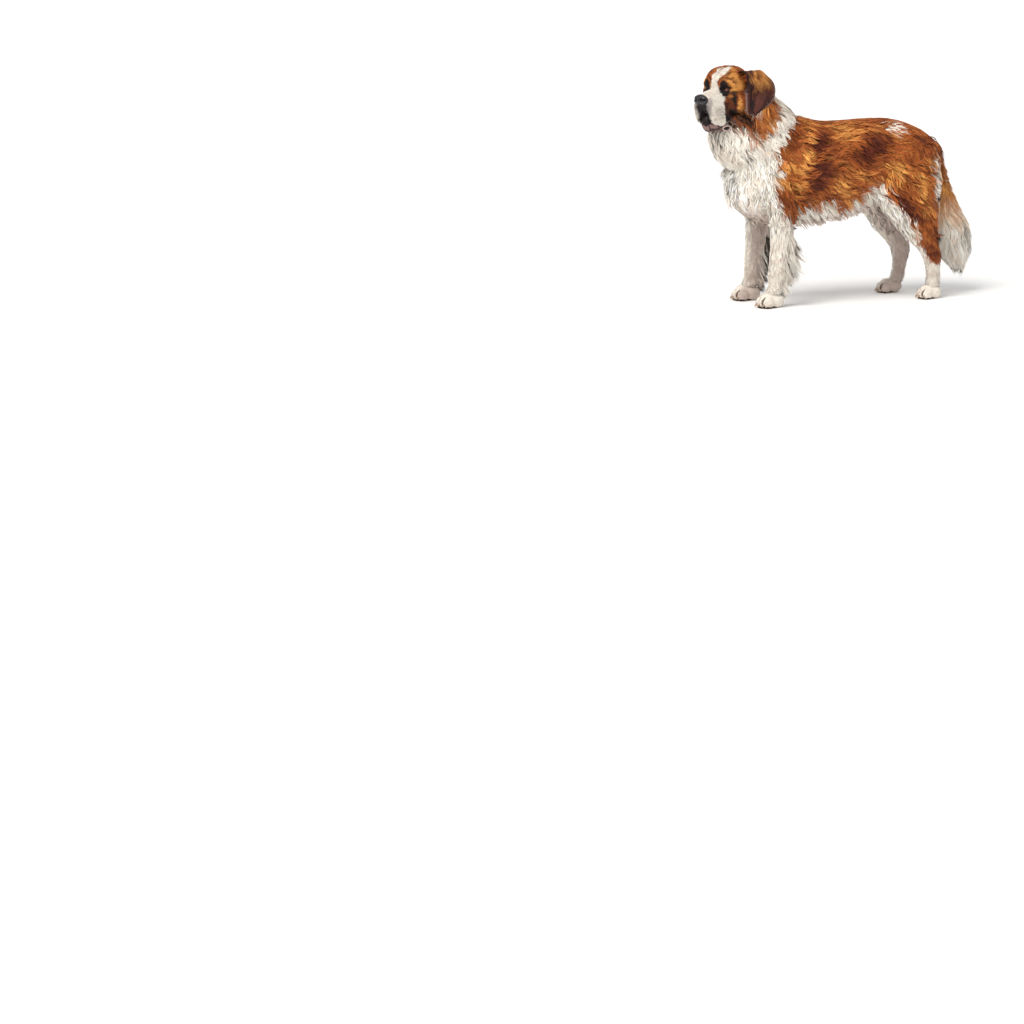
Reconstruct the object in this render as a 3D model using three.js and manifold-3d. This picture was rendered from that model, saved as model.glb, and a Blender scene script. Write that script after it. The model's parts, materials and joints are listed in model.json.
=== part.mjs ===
// A Saint Bernard dog that stands square with its head turned to its left, at life size in millimetres.
// X points to the dog's left, Y runs from its nose to its tail and Z is up; the paws stand on Z = 0.
// Trunk, legs and tail are closed tubes over a few oval stations. The head is one surface, found along
// rays where a blend of ovals ends. Each piece is cut clear of its neighbour by a thin gap.
import * as THREE from "three";
import { mergeVertices } from "three/addons/utils/BufferGeometryUtils.js";
import Module from "manifold-3d";

const wasm = await Module();
wasm.setup();

// Driving dimensions. Stations further down are real sizes of a dog of this height.
const GAP = 0.35;
const HEAD_TURN = 25;
const STANCE = 125;
const EYE_LEVEL = 899;
const EYES_AHEAD = 509;
const EYES_LEFT = 63;
const EYE_SPACING = 98;
const EYE_RADIUS = 13;
const EYE_TURN = 22;
const HIND_STAGGER = 75;

const degrees = THREE.MathUtils.degToRad;
const at = (x, y, z) => new THREE.Vector3(x, y, z);

// closed surfaces

// The solid of a geometry, turned right side out.
function solidOf(geometry) {
  const bare = new THREE.BufferGeometry().setAttribute("position", geometry.getAttribute("position"));
  bare.setIndex(geometry.index);
  const merged = mergeVertices(bare, 1e-4);
  const corners = new Uint32Array(merged.index.array);
  const vertProperties = merged.attributes.position.array;
  const made = new wasm.Manifold(new wasm.Mesh({ numProp: 3, vertProperties, triVerts: corners }));
  if (made.volume() > 0) return made;
  const turned = corners.slice();
  for (let i = 0; i < turned.length; i += 3) [turned[i], turned[i + 1]] = [turned[i + 1], turned[i]];
  return new wasm.Manifold(new wasm.Mesh({ numProp: 3, vertProperties, triVerts: turned }));
}

// A closed surface over rings of points, with a fan from each end ring to its own pole.
function overRings(rings, firstPole, lastPole) {
  const count = rings[0].length;
  const points = [firstPole, ...rings.flat(), lastPole];
  const last = points.length - 1;
  const faces = [];
  for (let k = 0; k < count; k++) {
    const next = (k + 1) % count;
    faces.push(0, 1 + next, 1 + k);
    for (let r = 0; r + 1 < rings.length; r++) {
      const a = 1 + r * count;
      const b = a + count;
      faces.push(a + k, a + next, b + next, a + k, b + next, b + k);
    }
    const end = 1 + (rings.length - 1) * count;
    faces.push(last, end + k, end + next);
  }
  const geometry = new THREE.BufferGeometry().setFromPoints(points);
  geometry.setIndex(faces);
  return solidOf(geometry);
}

// A smooth curve through evenly numbered values, read at any place between the first and the last.
function through(values, place) {
  const i = Math.min(Math.floor(place), values.length - 2);
  const t = place - i;
  const [b, c] = [values[i], values[i + 1]];
  const a = i > 0 ? values[i - 1] : 2 * b - c;
  const d = i + 2 < values.length ? values[i + 2] : 2 * c - b;
  return b + 0.5 * t * (c - a + t * (2 * a - 5 * b + 4 * c - d + t * (3 * (b - c) + d - a)));
}

// A tube over stations [x, y, z, side, back, front, lean]. Each station is an oval: side is its reach to
// the left and right, back and front its reach along a direction that leans from +Y up towards +Z.
function tube(stations, { dome = [10, 10], square = 2 } = {}) {
  const column = (k) => stations.map((s) => s[k]);
  const [xs, ys, zs, sides, backs, fronts, leans] = [0, 1, 2, 3, 4, 5, 6].map(column);
  const ends = stations.length - 1;
  const centre = (u) => at(through(xs, u * ends), through(ys, u * ends), through(zs, u * ends));
  // The point at share u along the tube and turn v round it, grown outwards.
  function point(u, v, grow = 0, shrink = 1) {
    const lean = degrees(through(leans, u * ends));
    const [c, s] = [Math.cos(2 * Math.PI * v), Math.sin(2 * Math.PI * v)];
    const soften = (q) => Math.sign(q) * Math.abs(q) ** (2 / square);
    const along = soften(s) * shrink * (through(s > 0 ? backs : fronts, u * ends) + grow);
    const across = soften(c) * shrink * (through(sides, u * ends) + grow);
    return centre(u).add(at(across, along * Math.cos(lean), along * Math.sin(lean)));
  }
  function solid(spans, around, grow = 0) {
    const rings = [];
    const heading = [centre(0).sub(centre(0.02)).normalize(), centre(1).sub(centre(0.98)).normalize()];
    const capRing = (end, angle) => {
      const push = heading[end].clone().multiplyScalar((dome[end] + grow) * Math.sin(degrees(angle)));
      const ring = [];
      for (let k = 0; k < around; k++)
        ring.push(point(end, k / around, grow, Math.cos(degrees(angle))).add(push));
      return ring;
    };
    rings.push(capRing(0, 60), capRing(0, 30));
    for (let i = 0; i <= spans; i++) {
      const ring = [];
      for (let k = 0; k < around; k++) ring.push(point(i / spans, k / around, grow));
      rings.push(ring);
    }
    rings.push(capRing(1, 30), capRing(1, 60));
    const poles = [0, 1].map((end) =>
      centre(end).add(heading[end].clone().multiplyScalar(dome[end] + grow)),
    );
    return overRings(rings, ...poles);
  }
  return { point, centre, solid };
}

// locks of long hair

let seed = 4242;
const chance = (low, high) => {
  seed = (seed * 16807) % 2147483647;
  return low + ((high - low) * seed) / 2147483647;
};

// The places along a lock, and the share of its full width at each.
const LOCK_PROFILE = [
  [0, 0],
  [0.1, 0.7],
  [0.45, 1],
  [0.76, 0.6],
  [1, 0],
];

// One flat tapered lock over its spine. Each place on the spine has its point and the way out of the coat.
function lockSolid({ spine, width, thick }, grow) {
  const rings = [1, 2, 3].map((i) => {
    const { spot, out } = spine[i];
    const along = spine[i + 1].spot.clone().sub(spine[i - 1].spot).normalize();
    const across = out.clone().cross(along).normalize();
    const up = along.cross(across);
    const half = (LOCK_PROFILE[i][1] * width) / 2 + grow;
    const deep = (LOCK_PROFILE[i][1] * thick) / 2 + grow;
    const corners = [across, up, across.clone().negate(), up.clone().negate()];
    return corners.map((way, k) => spot.clone().addScaledVector(way, k % 2 ? deep : half));
  });
  const pole = (end, next) => {
    const way = spine[end].spot.clone().sub(spine[next].spot).normalize();
    return spine[end].spot.clone().addScaledVector(way, 4 * grow);
  };
  return overRings(rings, pole(0, 1), pole(4, 3));
}

// The spine of a lock that starts at share u and turn v of a tube and walks over its surface. Its root is
// sunk by `under`; it comes out to the coat's outline, and its tip lifts off, droops and sways.
function spineOver(surface, u, v, { under, heading, fall, length, thick, lift, droop, sway }) {
  const spine = [];
  let spot = surface.point(u, v);
  for (let i = 0; i < LOCK_PROFILE.length; i++) {
    const t = LOCK_PROFILE[i][0];
    const inside = Math.min(Math.max(u, 0.01), 0.99);
    const overU = surface.point(inside + 0.01, v).sub(surface.point(inside - 0.01, v)).divideScalar(0.02);
    const overV = surface.point(inside, v + 0.01).sub(surface.point(inside, v - 0.01)).divideScalar(0.02);
    const out = overU.clone().cross(overV).normalize();
    if (out.dot(spot.clone().sub(surface.centre(inside))) < 0) out.negate();
    const rise = Math.min(t / 0.45, 1);
    const height = lift * length * t * t - thick * 0.4 - under * (1 - rise * rise * (3 - 2 * rise));
    const held = spot.clone().addScaledVector(out, height);
    spine.push({ spot: held.add(at(0, 0, -droop * length * t * t)), out });
    const way = overU.clone().setLength(heading).add(at(0, 0, -fall)).projectOnPlane(out).normalize();
    way.addScaledVector(out.clone().cross(way), sway * Math.cos(6 * t)).normalize();
    const step = length * ((LOCK_PROFILE[i + 1]?.[0] ?? 1) - t);
    u += (step * way.dot(overU)) / overU.lengthSq();
    v += (step * way.dot(overV)) / overV.lengthSq();
    const onTube = u > 0.01 && u < 0.99;
    spot = onTube ? surface.point(u, v) : spot.clone().addScaledVector(way, step);
  }
  return spine;
}

// Locks combed over a tube. Each row is [u, first v, last v, how many]. The lie follows the tube towards
// its end (heading 1) or its start (heading -1), pulled down by the share that falls.
function comb(surface, rows, style) {
  const locks = [];
  for (const [u, first, last, count] of rows)
    for (let i = 0; i < count; i++) {
      const v = first + ((last - first) * (i + 0.5 + chance(-0.28, 0.28))) / count;
      const own = { ...style, length: style.length * chance(0.85, 1.15), sway: style.sway * chance(-1, 1) };
      own.lift = style.lift * chance(0.5, 1.5);
      const spine = spineOver(surface, Math.max(u + chance(-0.02, 0.02), 0.01), v, own);
      locks.push({ spine, width: style.width * chance(0.9, 1.1), thick: style.thick });
    }
  return locks;
}

const fused = (solids) => solids.reduce((all, one) => all.add(one));
const lockSolids = (locks, grow = 0) => fused(locks.map((lock) => lockSolid(lock, grow)));

const mirrored = (stations, shift = () => 0) =>
  stations.map(([x, y, z, ...rest]) => [-x, y - shift(z), z, ...rest]);

// blends of ovals

// How far p lies outside an oval, about.
function outsideOval(p, [cx, cy, cz], [rx, ry, rz]) {
  const [x, y, z] = [p[0] - cx, p[1] - cy, p[2] - cz];
  const near = Math.hypot(x / rx, y / ry, z / rz);
  const slope = Math.hypot(x / (rx * rx), y / (ry * ry), z / (rz * rz));
  return slope > 1e-9 ? (near * (near - 1)) / slope : -Math.min(rx, ry, rz);
}

// The lesser of two distances, rounded where they meet.
function softMin(a, b, k) {
  const h = Math.max(k - Math.abs(a - b), 0) / k;
  return Math.min(a, b) - (h * h * k) / 4;
}

// A field that is negative inside a blend of ovals on both sides of the middle, less the hollows.
function blend(forms, hollows = []) {
  return (p) => {
    const q = [p[0], Math.abs(p[1]), p[2]];
    let field = 1e3;
    for (const f of forms) field = softMin(field, outsideOval(q, f.at, f.size), f.soft);
    for (const f of hollows) field = -softMin(-field, outsideOval(q, f.at, f.size), f.soft);
    return field;
  };
}

// The closed surface where a field reaches a level, found along rays. The rays start from a line and
// swing from backwards, through sideways, to forwards as their root moves along that line.
function rayed(field, from, to, rows, columns, level = 0, reach = 260) {
  const axis = to.clone().sub(from);
  const ahead = axis.clone().normalize();
  const left = at(0, 1, 0);
  const up = ahead.clone().cross(left);
  const spot = (share, turn) => {
    const swing = Math.PI * (1 - share);
    const root = from.clone().addScaledVector(axis, share * share * (3 - 2 * share));
    const ray = ahead.clone().multiplyScalar(Math.cos(swing));
    ray.addScaledVector(left, Math.sin(swing) * Math.cos(turn));
    ray.addScaledVector(up, Math.sin(swing) * Math.sin(turn));
    let far = reach;
    for (let step = 0; step < 90; step++)
      far -= 0.85 * (field(root.clone().addScaledVector(ray, far).toArray()) - level);
    return root.addScaledVector(ray, far);
  };
  const rings = [];
  for (let i = 1; i < rows; i++) {
    const ring = [];
    for (let k = 0; k < columns; k++) ring.push(spot(i / rows, (2 * Math.PI * k) / columns));
    rings.push(ring);
  }
  return overRings(rings, spot(0, 0), spot(1, 0));
}

// the trunk, neck and tail

// Chest to rump. Back is the reach up to the spine's line and front the reach down to the belly's.
const TRUNK = tube(
  [
    [0, -408, 500, 74, 84, 84, 90],
    [0, -384, 508, 104, 118, 118, 90],
    [0, -350, 516, 130, 150, 154, 90],
    [0, -290, 535, 150, 182, 194, 90],
    [0, -205, 545, 166, 204, 218, 90],
    [0, -120, 550, 171, 204, 224, 90],
    [0, -20, 548, 170, 184, 212, 90],
    [0, 80, 552, 164, 178, 192, 90],
    [0, 180, 560, 156, 172, 168, 90],
    [0, 270, 570, 152, 158, 152, 90],
    [0, 350, 575, 148, 132, 140, 90],
    [0, 420, 572, 130, 98, 116, 90],
    [0, 462, 566, 96, 66, 76, 90],
  ],
  { dome: [18, 18], square: 2.2 },
);

// The rounded fold of skin under the belly, ahead of the hind legs.
const FLANK_FOLD = { at: [0, 158, 402], size: [30, 64, 26] };

// Shoulders to skull. Back is the nape's side and front the throat's.
const NECK = tube(
  [
    [0, -238, 600, 138, 132, 172, 28],
    [2, -285, 695, 140, 150, 206, 35],
    [8, -335, 770, 130, 122, 212, 38],
    [14, -368, 835, 108, 102, 184, 42],
    [20, -392, 880, 92, 76, 96, 46],
  ],
  { dome: [40, 22] },
);

// Rump to tip, hanging behind the hocks. Back is the outer side.
const TAIL = tube(
  [
    [0, 418, 640, 34, 30, 34, 50],
    [0, 464, 588, 34, 34, 36, 30],
    [0, 488, 505, 34, 34, 34, 12],
    [0, 505, 420, 38, 44, 40, 10],
    [0, 532, 326, 44, 56, 52, 12],
    [0, 560, 232, 46, 74, 70, 14],
    [0, 577, 162, 34, 46, 56, 8],
    [0, 584, 112, 12, 14, 20, 4],
  ],
  { dome: [16, 20] },
);

// the legs

const SHOULDER = [
  [104, -268, 610, 42, 58, 66, 0],
  [118, -268, 530, 52, 78, 82, 0],
  [124, -256, 450, 48, 72, 72, 0],
  [127, -246, 385, 43, 60, 60, 0],
  [127, -248, 330, 40, 48, 52, 0],
];
const FOREARM = [
  [127, -248, 330, 40, 48, 52, 0],
  [127, -255, 255, 36, 41, 46, 0],
  [126, -263, 190, 34, 36, 41, 0],
  [STANCE, -269, 142, 36, 36, 39, 0],
  [STANCE, -273, 98, 34, 33, 36, 0],
  [STANCE, -284, 58, 36, 36, 40, 0],
];
// The long hair behind the forearm, up to half way to its tips.
const FEATHER = [
  [126, -207, 352, 15, 22, 30, 0],
  [127, -206, 270, 14, 24, 30, 0],
  [127, -215, 190, 13, 20, 28, 0],
  [126, -228, 128, 10, 10, 16, 0],
];
const THIGH = [
  [98, 345, 625, 44, 74, 84, 0],
  [114, 328, 545, 54, 116, 128, 0],
  [122, 316, 466, 55, 140, 148, 0],
  [126, 312, 392, 51, 128, 132, 0],
  [126, 338, 322, 45, 98, 98, 0],
  [125, 362, 262, 39, 72, 74, 0],
];
const SHANK = [
  [125, 362, 262, 39, 72, 74, 0],
  [121, 398, 208, 33, 50, 50, 0],
  [118, 415, 172, 31, 44, 42, 0],
  [115, 421, 118, 29, 33, 31, 0],
  [114, 423, 72, 31, 32, 32, 0],
  [114, 418, 44, 33, 34, 34, 0],
];
// The right hind foot stands further forward than the left one, the more so the lower on the leg.
const swing = (z) => HIND_STAGGER * Math.max(0, 1 - z / 520) ** 1.8;

const legs = {
  left: [SHOULDER, FOREARM, FEATHER, THIGH, SHANK].map((s) => tube(s)),
  right: [
    ...[SHOULDER, FOREARM, FEATHER].map((s) => tube(mirrored(s))),
    ...[THIGH, SHANK].map((s) => tube(mirrored(s, swing))),
  ],
};

// the paws

const PAW = { width: 100, length: 122 };
const TOES = [-1.5, -0.5, 0.5, 1.5];
const FORE_PAW = { x: STANCE, y: -303, turnOut: 4, scale: 0.96 };
const HIND_PAW = { x: 118, y: 402, turnOut: 5, scale: 0.86 };

// One paw round its own centre, toes towards -Y, cut flat at the floor.
function paw(scale, grow = 0) {
  const oval = (x, y, z, rx, ry, rz, w, h) => {
    const ball = new THREE.SphereGeometry(1, w, h);
    ball.scale(scale * rx + grow, scale * ry + grow, scale * rz + grow);
    ball.translate(scale * x, scale * y, scale * z);
    return solidOf(ball);
  };
  const pad = oval(0, 22, 30, PAW.width * 0.42, PAW.length * 0.37, 36, 8, 5);
  const instep = oval(0, -6, 38, PAW.width * 0.37, PAW.length * 0.33, 30, 8, 5);
  const pieces = [pad, instep];
  for (const toe of TOES) {
    const inner = Math.abs(toe) < 1;
    const x = toe * PAW.width * 0.22;
    const y = -PAW.length * (inner ? 0.27 : 0.17);
    pieces.push(oval(x, y, 24, PAW.width * 0.15, PAW.length * 0.22, 27, 6, 5));
    const claw = new THREE.ConeGeometry(scale * 5 + grow, scale * 24, 4);
    claw.rotateX(degrees(225));
    claw.translate(scale * x * 1.04, scale * (y - PAW.length * 0.175), scale * 12);
    pieces.push(solidOf(claw));
  }
  const floor = new THREE.BoxGeometry(400, 400, 100);
  floor.translate(0, 0, -50 - grow);
  return pieces.reduce((all, piece) => all.add(piece)).subtract(solidOf(floor));
}

// the head, in its own frame: X ahead from between the eyes, Y left, Z up

const HEAD_FORMS = [
  { name: "skull", at: [-78, 0, 0], size: [92, 82, 86], soft: 1 },
  { name: "forehead", at: [-32, 24, 30], size: [50, 46, 46], soft: 30 },
  { name: "brow", at: [-6, 43, 15], size: [23, 25, 15], soft: 24 },
  { name: "cheekbone", at: [-30, 56, -18], size: [44, 24, 24], soft: 24 },
  { name: "cheek", at: [-62, 50, -52], size: [60, 46, 58], soft: 26 },
  { name: "bridge", at: [34, 0, -36], size: [46, 32, 31], soft: 20 },
  { name: "muzzle", at: [60, 0, -46], size: [46, 42, 33], soft: 16 },
  { name: "whisker pad", at: [68, 24, -66], size: [33, 27, 32], soft: 14 },
  { name: "front flew", at: [54, 37, -94], size: [35, 20, 50], soft: 14 },
  { name: "rear flew", at: [22, 44, -104], size: [34, 19, 48], soft: 14 },
  { name: "muzzle root", at: [10, 32, -58], size: [48, 31, 46], soft: 22 },
  { name: "throat", at: [-74, 0, -96], size: [62, 46, 54], soft: 24 },
  { name: "lids", at: [-6, EYE_SPACING / 2, 0], size: [17, 17.5, 15.5], soft: 9 },
];
const HEAD_HOLLOWS = [
  { name: "furrow", at: [0, 0, 70], size: [50, 4, 20], soft: 18 },
];
const JAW_FORMS = [
  { name: "chin", at: [46, 0, -136], size: [38, 30, 41], soft: 1 },
  { name: "jaw", at: [-5, 0, -120], size: [66, 40, 40], soft: 18 },
  { name: "lower lip", at: [24, 30, -142], size: [34, 18, 30], soft: 14 },
  { name: "lip corner", at: [3, 43, -156], size: [25, 12, 18], soft: 12 },
];
const NOSE_FORMS = [
  { name: "pad", at: [98, 0, -37], size: [17, 29, 21], soft: 1 },
  { name: "wing", at: [98, 19, -40], size: [15, 15, 16], soft: 8 },
];
const NOSTRILS = [
  { name: "nostril", at: [112, 14, -37], size: [11, 7, 8], soft: 3 },
  { name: "split", at: [118, 0, -50], size: [10, 2, 22], soft: 3 },
];

// From the head's own frame to the dog's.
const headPlace = new THREE.Matrix4()
  .makeTranslation(EYES_LEFT, -EYES_AHEAD, EYE_LEVEL)
  .multiply(new THREE.Matrix4().makeRotationZ(degrees(HEAD_TURN - 90)));
const placed = (solid) => solid.transform(headPlace.elements);

const headAt = (level) =>
  placed(rayed(blend(HEAD_FORMS, HEAD_HOLLOWS), at(-80, 0, -20), at(64, 0, -62), 23, 28, level));
const jawAt = (level) => placed(rayed(blend(JAW_FORMS), at(-10, 0, -120), at(50, 0, -128), 11, 16, level));
const noseAt = (level) =>
  placed(rayed(blend(NOSE_FORMS, NOSTRILS), at(90, 0, -38), at(98, 0, -38), 11, 16, level, 60));

function eyeball(side, grow = 0) {
  const ball = new THREE.SphereGeometry(EYE_RADIUS + grow, 12, 8);
  ball.translate(-5, (side * EYE_SPACING) / 2, 0);
  return placed(solidOf(ball));
}

// The almond between the lids, deep enough to lay the eyeball bare.
function lidOpening(side) {
  const almond = new THREE.SphereGeometry(1, 12, 8);
  almond.scale(11, 13.5, 6.5);
  almond.translate(EYE_RADIUS + 3, 0, 0);
  almond.rotateZ(degrees(side * EYE_TURN));
  almond.translate(-5, (side * EYE_SPACING) / 2, 0);
  return placed(solidOf(almond));
}

// The ear's midline from its root over the arch to its tip, for the left side, with half its width.
const EAR = [
  { mid: [-92, 42, 44], half: 32 },
  { mid: [-102, 74, 62], half: 38 },
  { mid: [-109, 102, 59], half: 42 },
  { mid: [-113, 120, 34], half: 49 },
  { mid: [-120, 127, -12], half: 72 },
  { mid: [-105, 126, -54], half: 53 },
  { mid: [-89, 123, -86], half: 34 },
  { mid: [-82, 120, -106], half: 21 },
];
// The right ear lies a little lower and closer than the left one.
const RIGHT_EAR_SHIFT = at(-8, -5, -12);
const EAR_THICKNESS = 9;
const EAR_FLARE = 0.42;
const EAR_CUP = 0.26;

function ear(side, grow = 0) {
  const read = (pick, u) => through(EAR.map(pick), u * (EAR.length - 1));
  const shift = side < 0 ? RIGHT_EAR_SHIFT : at(0, 0, 0);
  const mid = (u) => at(...[0, 1, 2].map((k) => read((e) => e.mid[k], u))).add(shift);
  const rings = [];
  const spans = 11;
  const around = 12;
  for (let i = 0; i <= spans; i++) {
    const u = i / spans;
    const along = mid(Math.min(u + 0.02, 1)).sub(mid(Math.max(u - 0.02, 0))).normalize();
    const across = at(-1, EAR_FLARE, 0).projectOnPlane(along).normalize();
    const out = along.clone().cross(across);
    const half = read((e) => e.half, u) + grow;
    const thick = EAR_THICKNESS / 2 + grow;
    const ring = [];
    for (let k = 0; k < around; k++) {
      const turn = (2 * Math.PI * k) / around;
      const reach = Math.cos(turn);
      const spot = mid(u).addScaledVector(across, half * reach);
      const curl = EAR_CUP * half * u * reach * reach;
      ring.push(spot.addScaledVector(out, thick * Math.sin(turn) - curl));
    }
    rings.push(ring.map((p) => p.setY(side * p.y)));
  }
  const pole = (u, v, push) => {
    const p = mid(u).addScaledVector(mid(u).sub(mid(v)).normalize(), push + grow);
    return p.setY(side * p.y);
  };
  return placed(overRings(rings, pole(0, 0.05, 3), pole(1, 0.95, 5)));
}

// cutting each piece clear of its neighbours

// The largest closed body of a solid, without the scraps that a cut leaves.
function largest(solid) {
  const bodies = solid.decompose();
  bodies.sort((a, b) => b.volume() - a.volume());
  return bodies[0];
}
const clearOf = (solid, ...others) => largest(others.reduce((left, other) => left.subtract(other), solid));

const dog = new THREE.Group();
const COLOURS = {
  coat: [0x8a4a1e, 0.85],
  white: [0xe8e0d4, 0.85],
  dark: [0x2a1a14, 0.8],
  nose: [0x17161a, 0.35],
  eye: [0x3a1c0a, 0.08],
};
function add(name, solid, [colour, roughness]) {
  const { vertProperties, triVerts } = solid.getMesh();
  const geometry = new THREE.BufferGeometry();
  geometry.setAttribute("position", new THREE.BufferAttribute(vertProperties, 3));
  geometry.setIndex(new THREE.BufferAttribute(triVerts, 1));
  const material = new THREE.MeshStandardMaterial({ color: colour, roughness, metalness: 0 });
  const mesh = new THREE.Mesh(geometry, material);
  mesh.name = name;
  dog.add(mesh);
}

const BELOW = -1;
const ABOVE = 1;
// All the space below a level, or all above it, and half a gap beyond: a leg is parted with both.
function spaceFrom(level, way) {
  const size = 2000;
  const space = new THREE.BoxGeometry(size, size, size);
  space.translate(0, 0, level + (way * (size - GAP)) / 2);
  return solidOf(space);
}

// How many spans each tube has along it, and how many faces round it.
const SPANS = { trunk: 14, neck: 7, tail: 10, shoulder: 6, forearm: 6, feather: 3, thigh: 7, shank: 7 };
const AROUND = { trunk: 20, neck: 18, tail: 10, leg: 11, feather: 6 };

// How deep the flesh lies below the outline that the long coat fills, and the locks over it.
const COAT = { trunk: 6, neck: 20, tail: 16 };
const neckLocks = comb(
  NECK,
  [
    [0.8, -0.24, 0.74, 7],
    [0.54, -0.3, 0.7, 8],
    [0.27, -0.26, 0.74, 9],
  ],
  { under: 34, heading: -1, fall: 0.5, length: 165, width: 84, thick: 24, lift: 0.06, droop: 0.04, sway: 0.3 },
);
const trunkLocks = [
  ...comb(
    TRUNK,
    [
      [0.01, 0.46, 1.04, 5],
      [0.11, 0.55, 0.95, 4],
    ],
    {
      under: 30, heading: 0.1, fall: 1, length: 150, width: 88, thick: 30,
      lift: 0.07, droop: 0.04, sway: 0.3,
    },
  ),
  ...comb(
    TRUNK,
    [
      [0.29, 0.64, 0.86, 2],
      [0.42, 0.63, 0.87, 3],
      [0.55, 0.67, 0.83, 2],
    ],
    {
      under: 22, heading: 0.8, fall: 0.6, length: 112, width: 60, thick: 18,
      lift: 0.04, droop: 0.2, sway: 0.3,
    },
  ),
  ...comb(
    TRUNK,
    [
      [0.22, 0.18, 0.32, 1],
      [0.84, 0.1, 0.4, 2],
    ],
    {
      under: 20, heading: 1, fall: 0.3, length: 140, width: 76, thick: 18,
      lift: 0.03, droop: 0, sway: 0.3,
    },
  ),
];
const tailLocks = comb(
  TAIL,
  [
    [0.2, 0.05, 0.45, 2],
    [0.38, 0, 1, 4],
    [0.52, 0.1, 1.1, 5],
    [0.66, 0, 1, 4],
    [0.8, 0.1, 1.1, 4],
  ],
  { under: 26, heading: 1, fall: 0.4, length: 120, width: 54, thick: 18, lift: 0.06, droop: 0, sway: 0.3 },
);
const featherLocks = (feather) =>
  comb(
    feather,
    [
      [0.06, 0.14, 0.36, 2],
      [0.28, 0.14, 0.36, 2],
      [0.5, 0.14, 0.36, 2],
      [0.74, 0.2, 0.3, 1],
    ],
    {
      under: 16, heading: 1, fall: 0.3, length: 84, width: 30, thick: 26,
      lift: 0.42, droop: 0.04, sway: 0.2,
    },
  );
const breechLocks = (thigh) =>
  comb(
    thigh,
    [
      [0.36, 0.12, 0.38, 2],
      [0.58, 0.12, 0.38, 2],
      [0.78, 0.16, 0.34, 2],
    ],
    {
      under: 24, heading: 1, fall: 0.2, length: 112, width: 56, thick: 18,
      lift: 0.1, droop: 0.02, sway: 0.3,
    },
  );

const trunkFlesh = (grow = 0) => TRUNK.solid(SPANS.trunk, AROUND.trunk, grow - COAT.trunk);
const neckFlesh = (grow = 0) => NECK.solid(SPANS.neck, AROUND.neck, grow - COAT.neck);
const tailFlesh = (grow = 0) => TAIL.solid(SPANS.tail, AROUND.tail, grow - COAT.tail);
const trunkClear = trunkFlesh(GAP).add(lockSolids(trunkLocks, GAP));
const parts = {};

for (const [name, turn] of [
  ["left", 1],
  ["right", -1],
]) {
  const [shoulder, forearm, feather, thigh, shank] = legs[name];
  const hindShift = turn < 0 ? swing(0) : 0;
  const put = (made, place, shift) =>
    made.rotate([0, 0, turn * place.turnOut]).translate([turn * place.x, place.y - shift, 0]);
  const elbow = SHOULDER.at(-1)[2];
  const stifle = THIGH.at(-1)[2];
  const fringe = featherLocks(feather);
  const breech = breechLocks(thigh);
  const foreFlesh = (grow) =>
    fused([
      shoulder.solid(SPANS.shoulder, AROUND.leg, grow),
      forearm.solid(SPANS.forearm, AROUND.leg, grow),
      feather.solid(SPANS.feather, AROUND.feather, grow),
    ]);
  const hindFlesh = (grow) =>
    thigh.solid(SPANS.thigh, AROUND.leg, grow).add(shank.solid(SPANS.shank, AROUND.leg, grow));
  const foreLeg = foreFlesh(0).add(lockSolids(fringe).subtract(trunkClear));
  const hindLeg = hindFlesh(0).add(lockSolids(breech).subtract(trunkClear));
  const forePaw = put(paw(FORE_PAW.scale), FORE_PAW, 0);
  const hindPaw = put(paw(HIND_PAW.scale), HIND_PAW, hindShift);
  const foreClear = put(paw(FORE_PAW.scale, GAP), FORE_PAW, 0);
  const hindClear = put(paw(HIND_PAW.scale, GAP), HIND_PAW, hindShift);
  parts[`shoulder_${name}`] = clearOf(foreLeg, foreClear, spaceFrom(elbow, BELOW));
  parts[`forearm_${name}`] = clearOf(foreLeg, foreClear, spaceFrom(elbow, ABOVE));
  parts[`thigh_${name}`] = clearOf(hindLeg, hindClear, spaceFrom(stifle, BELOW));
  parts[`shank_${name}`] = clearOf(hindLeg, hindClear, spaceFrom(stifle, ABOVE));
  parts[`forepaw_${name}`] = forePaw;
  parts[`hindpaw_${name}`] = hindPaw;
  parts[`flesh_${name}`] = foreFlesh(GAP).add(hindFlesh(GAP));
  parts[`hair_${name}`] = lockSolids([...fringe, ...breech], GAP);
  parts[`eye_${name}`] = eyeball(turn);
}

const sockets = [1, -1].map((turn) => eyeball(turn, GAP).add(lidOpening(turn)));
const limbs = parts.flesh_left.add(parts.flesh_right);
const headClear = headAt(GAP);
const jawClear = jawAt(GAP);
const earClear = ear(1, GAP).add(ear(-1, GAP));
const neckClear = neckFlesh(GAP);
const head = clearOf(headAt(0), ...sockets, noseAt(GAP), neckClear);
const jaw = clearOf(jawAt(0), headClear, neckClear);
const ears = { left: clearOf(ear(1), headClear), right: clearOf(ear(-1), headClear) };
const ruff = [headClear, jawClear, trunkClear].reduce(
  (all, one) => all.subtract(one),
  lockSolids(neckLocks),
);
const neck = clearOf(neckFlesh().add(ruff), limbs, earClear);
const plume = lockSolids(tailLocks).subtract(trunkClear);
const tail = clearOf(tailFlesh().add(plume), limbs, parts.hair_left, parts.hair_right);
const fold = new THREE.SphereGeometry(1, 8, 6);
fold.scale(...FLANK_FOLD.size);
fold.translate(...FLANK_FOLD.at);
const trunkBody = fused([trunkFlesh(), solidOf(fold), lockSolids(trunkLocks)]);
const trunk = clearOf(trunkBody, neckClear, tailFlesh(GAP), limbs);

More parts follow.
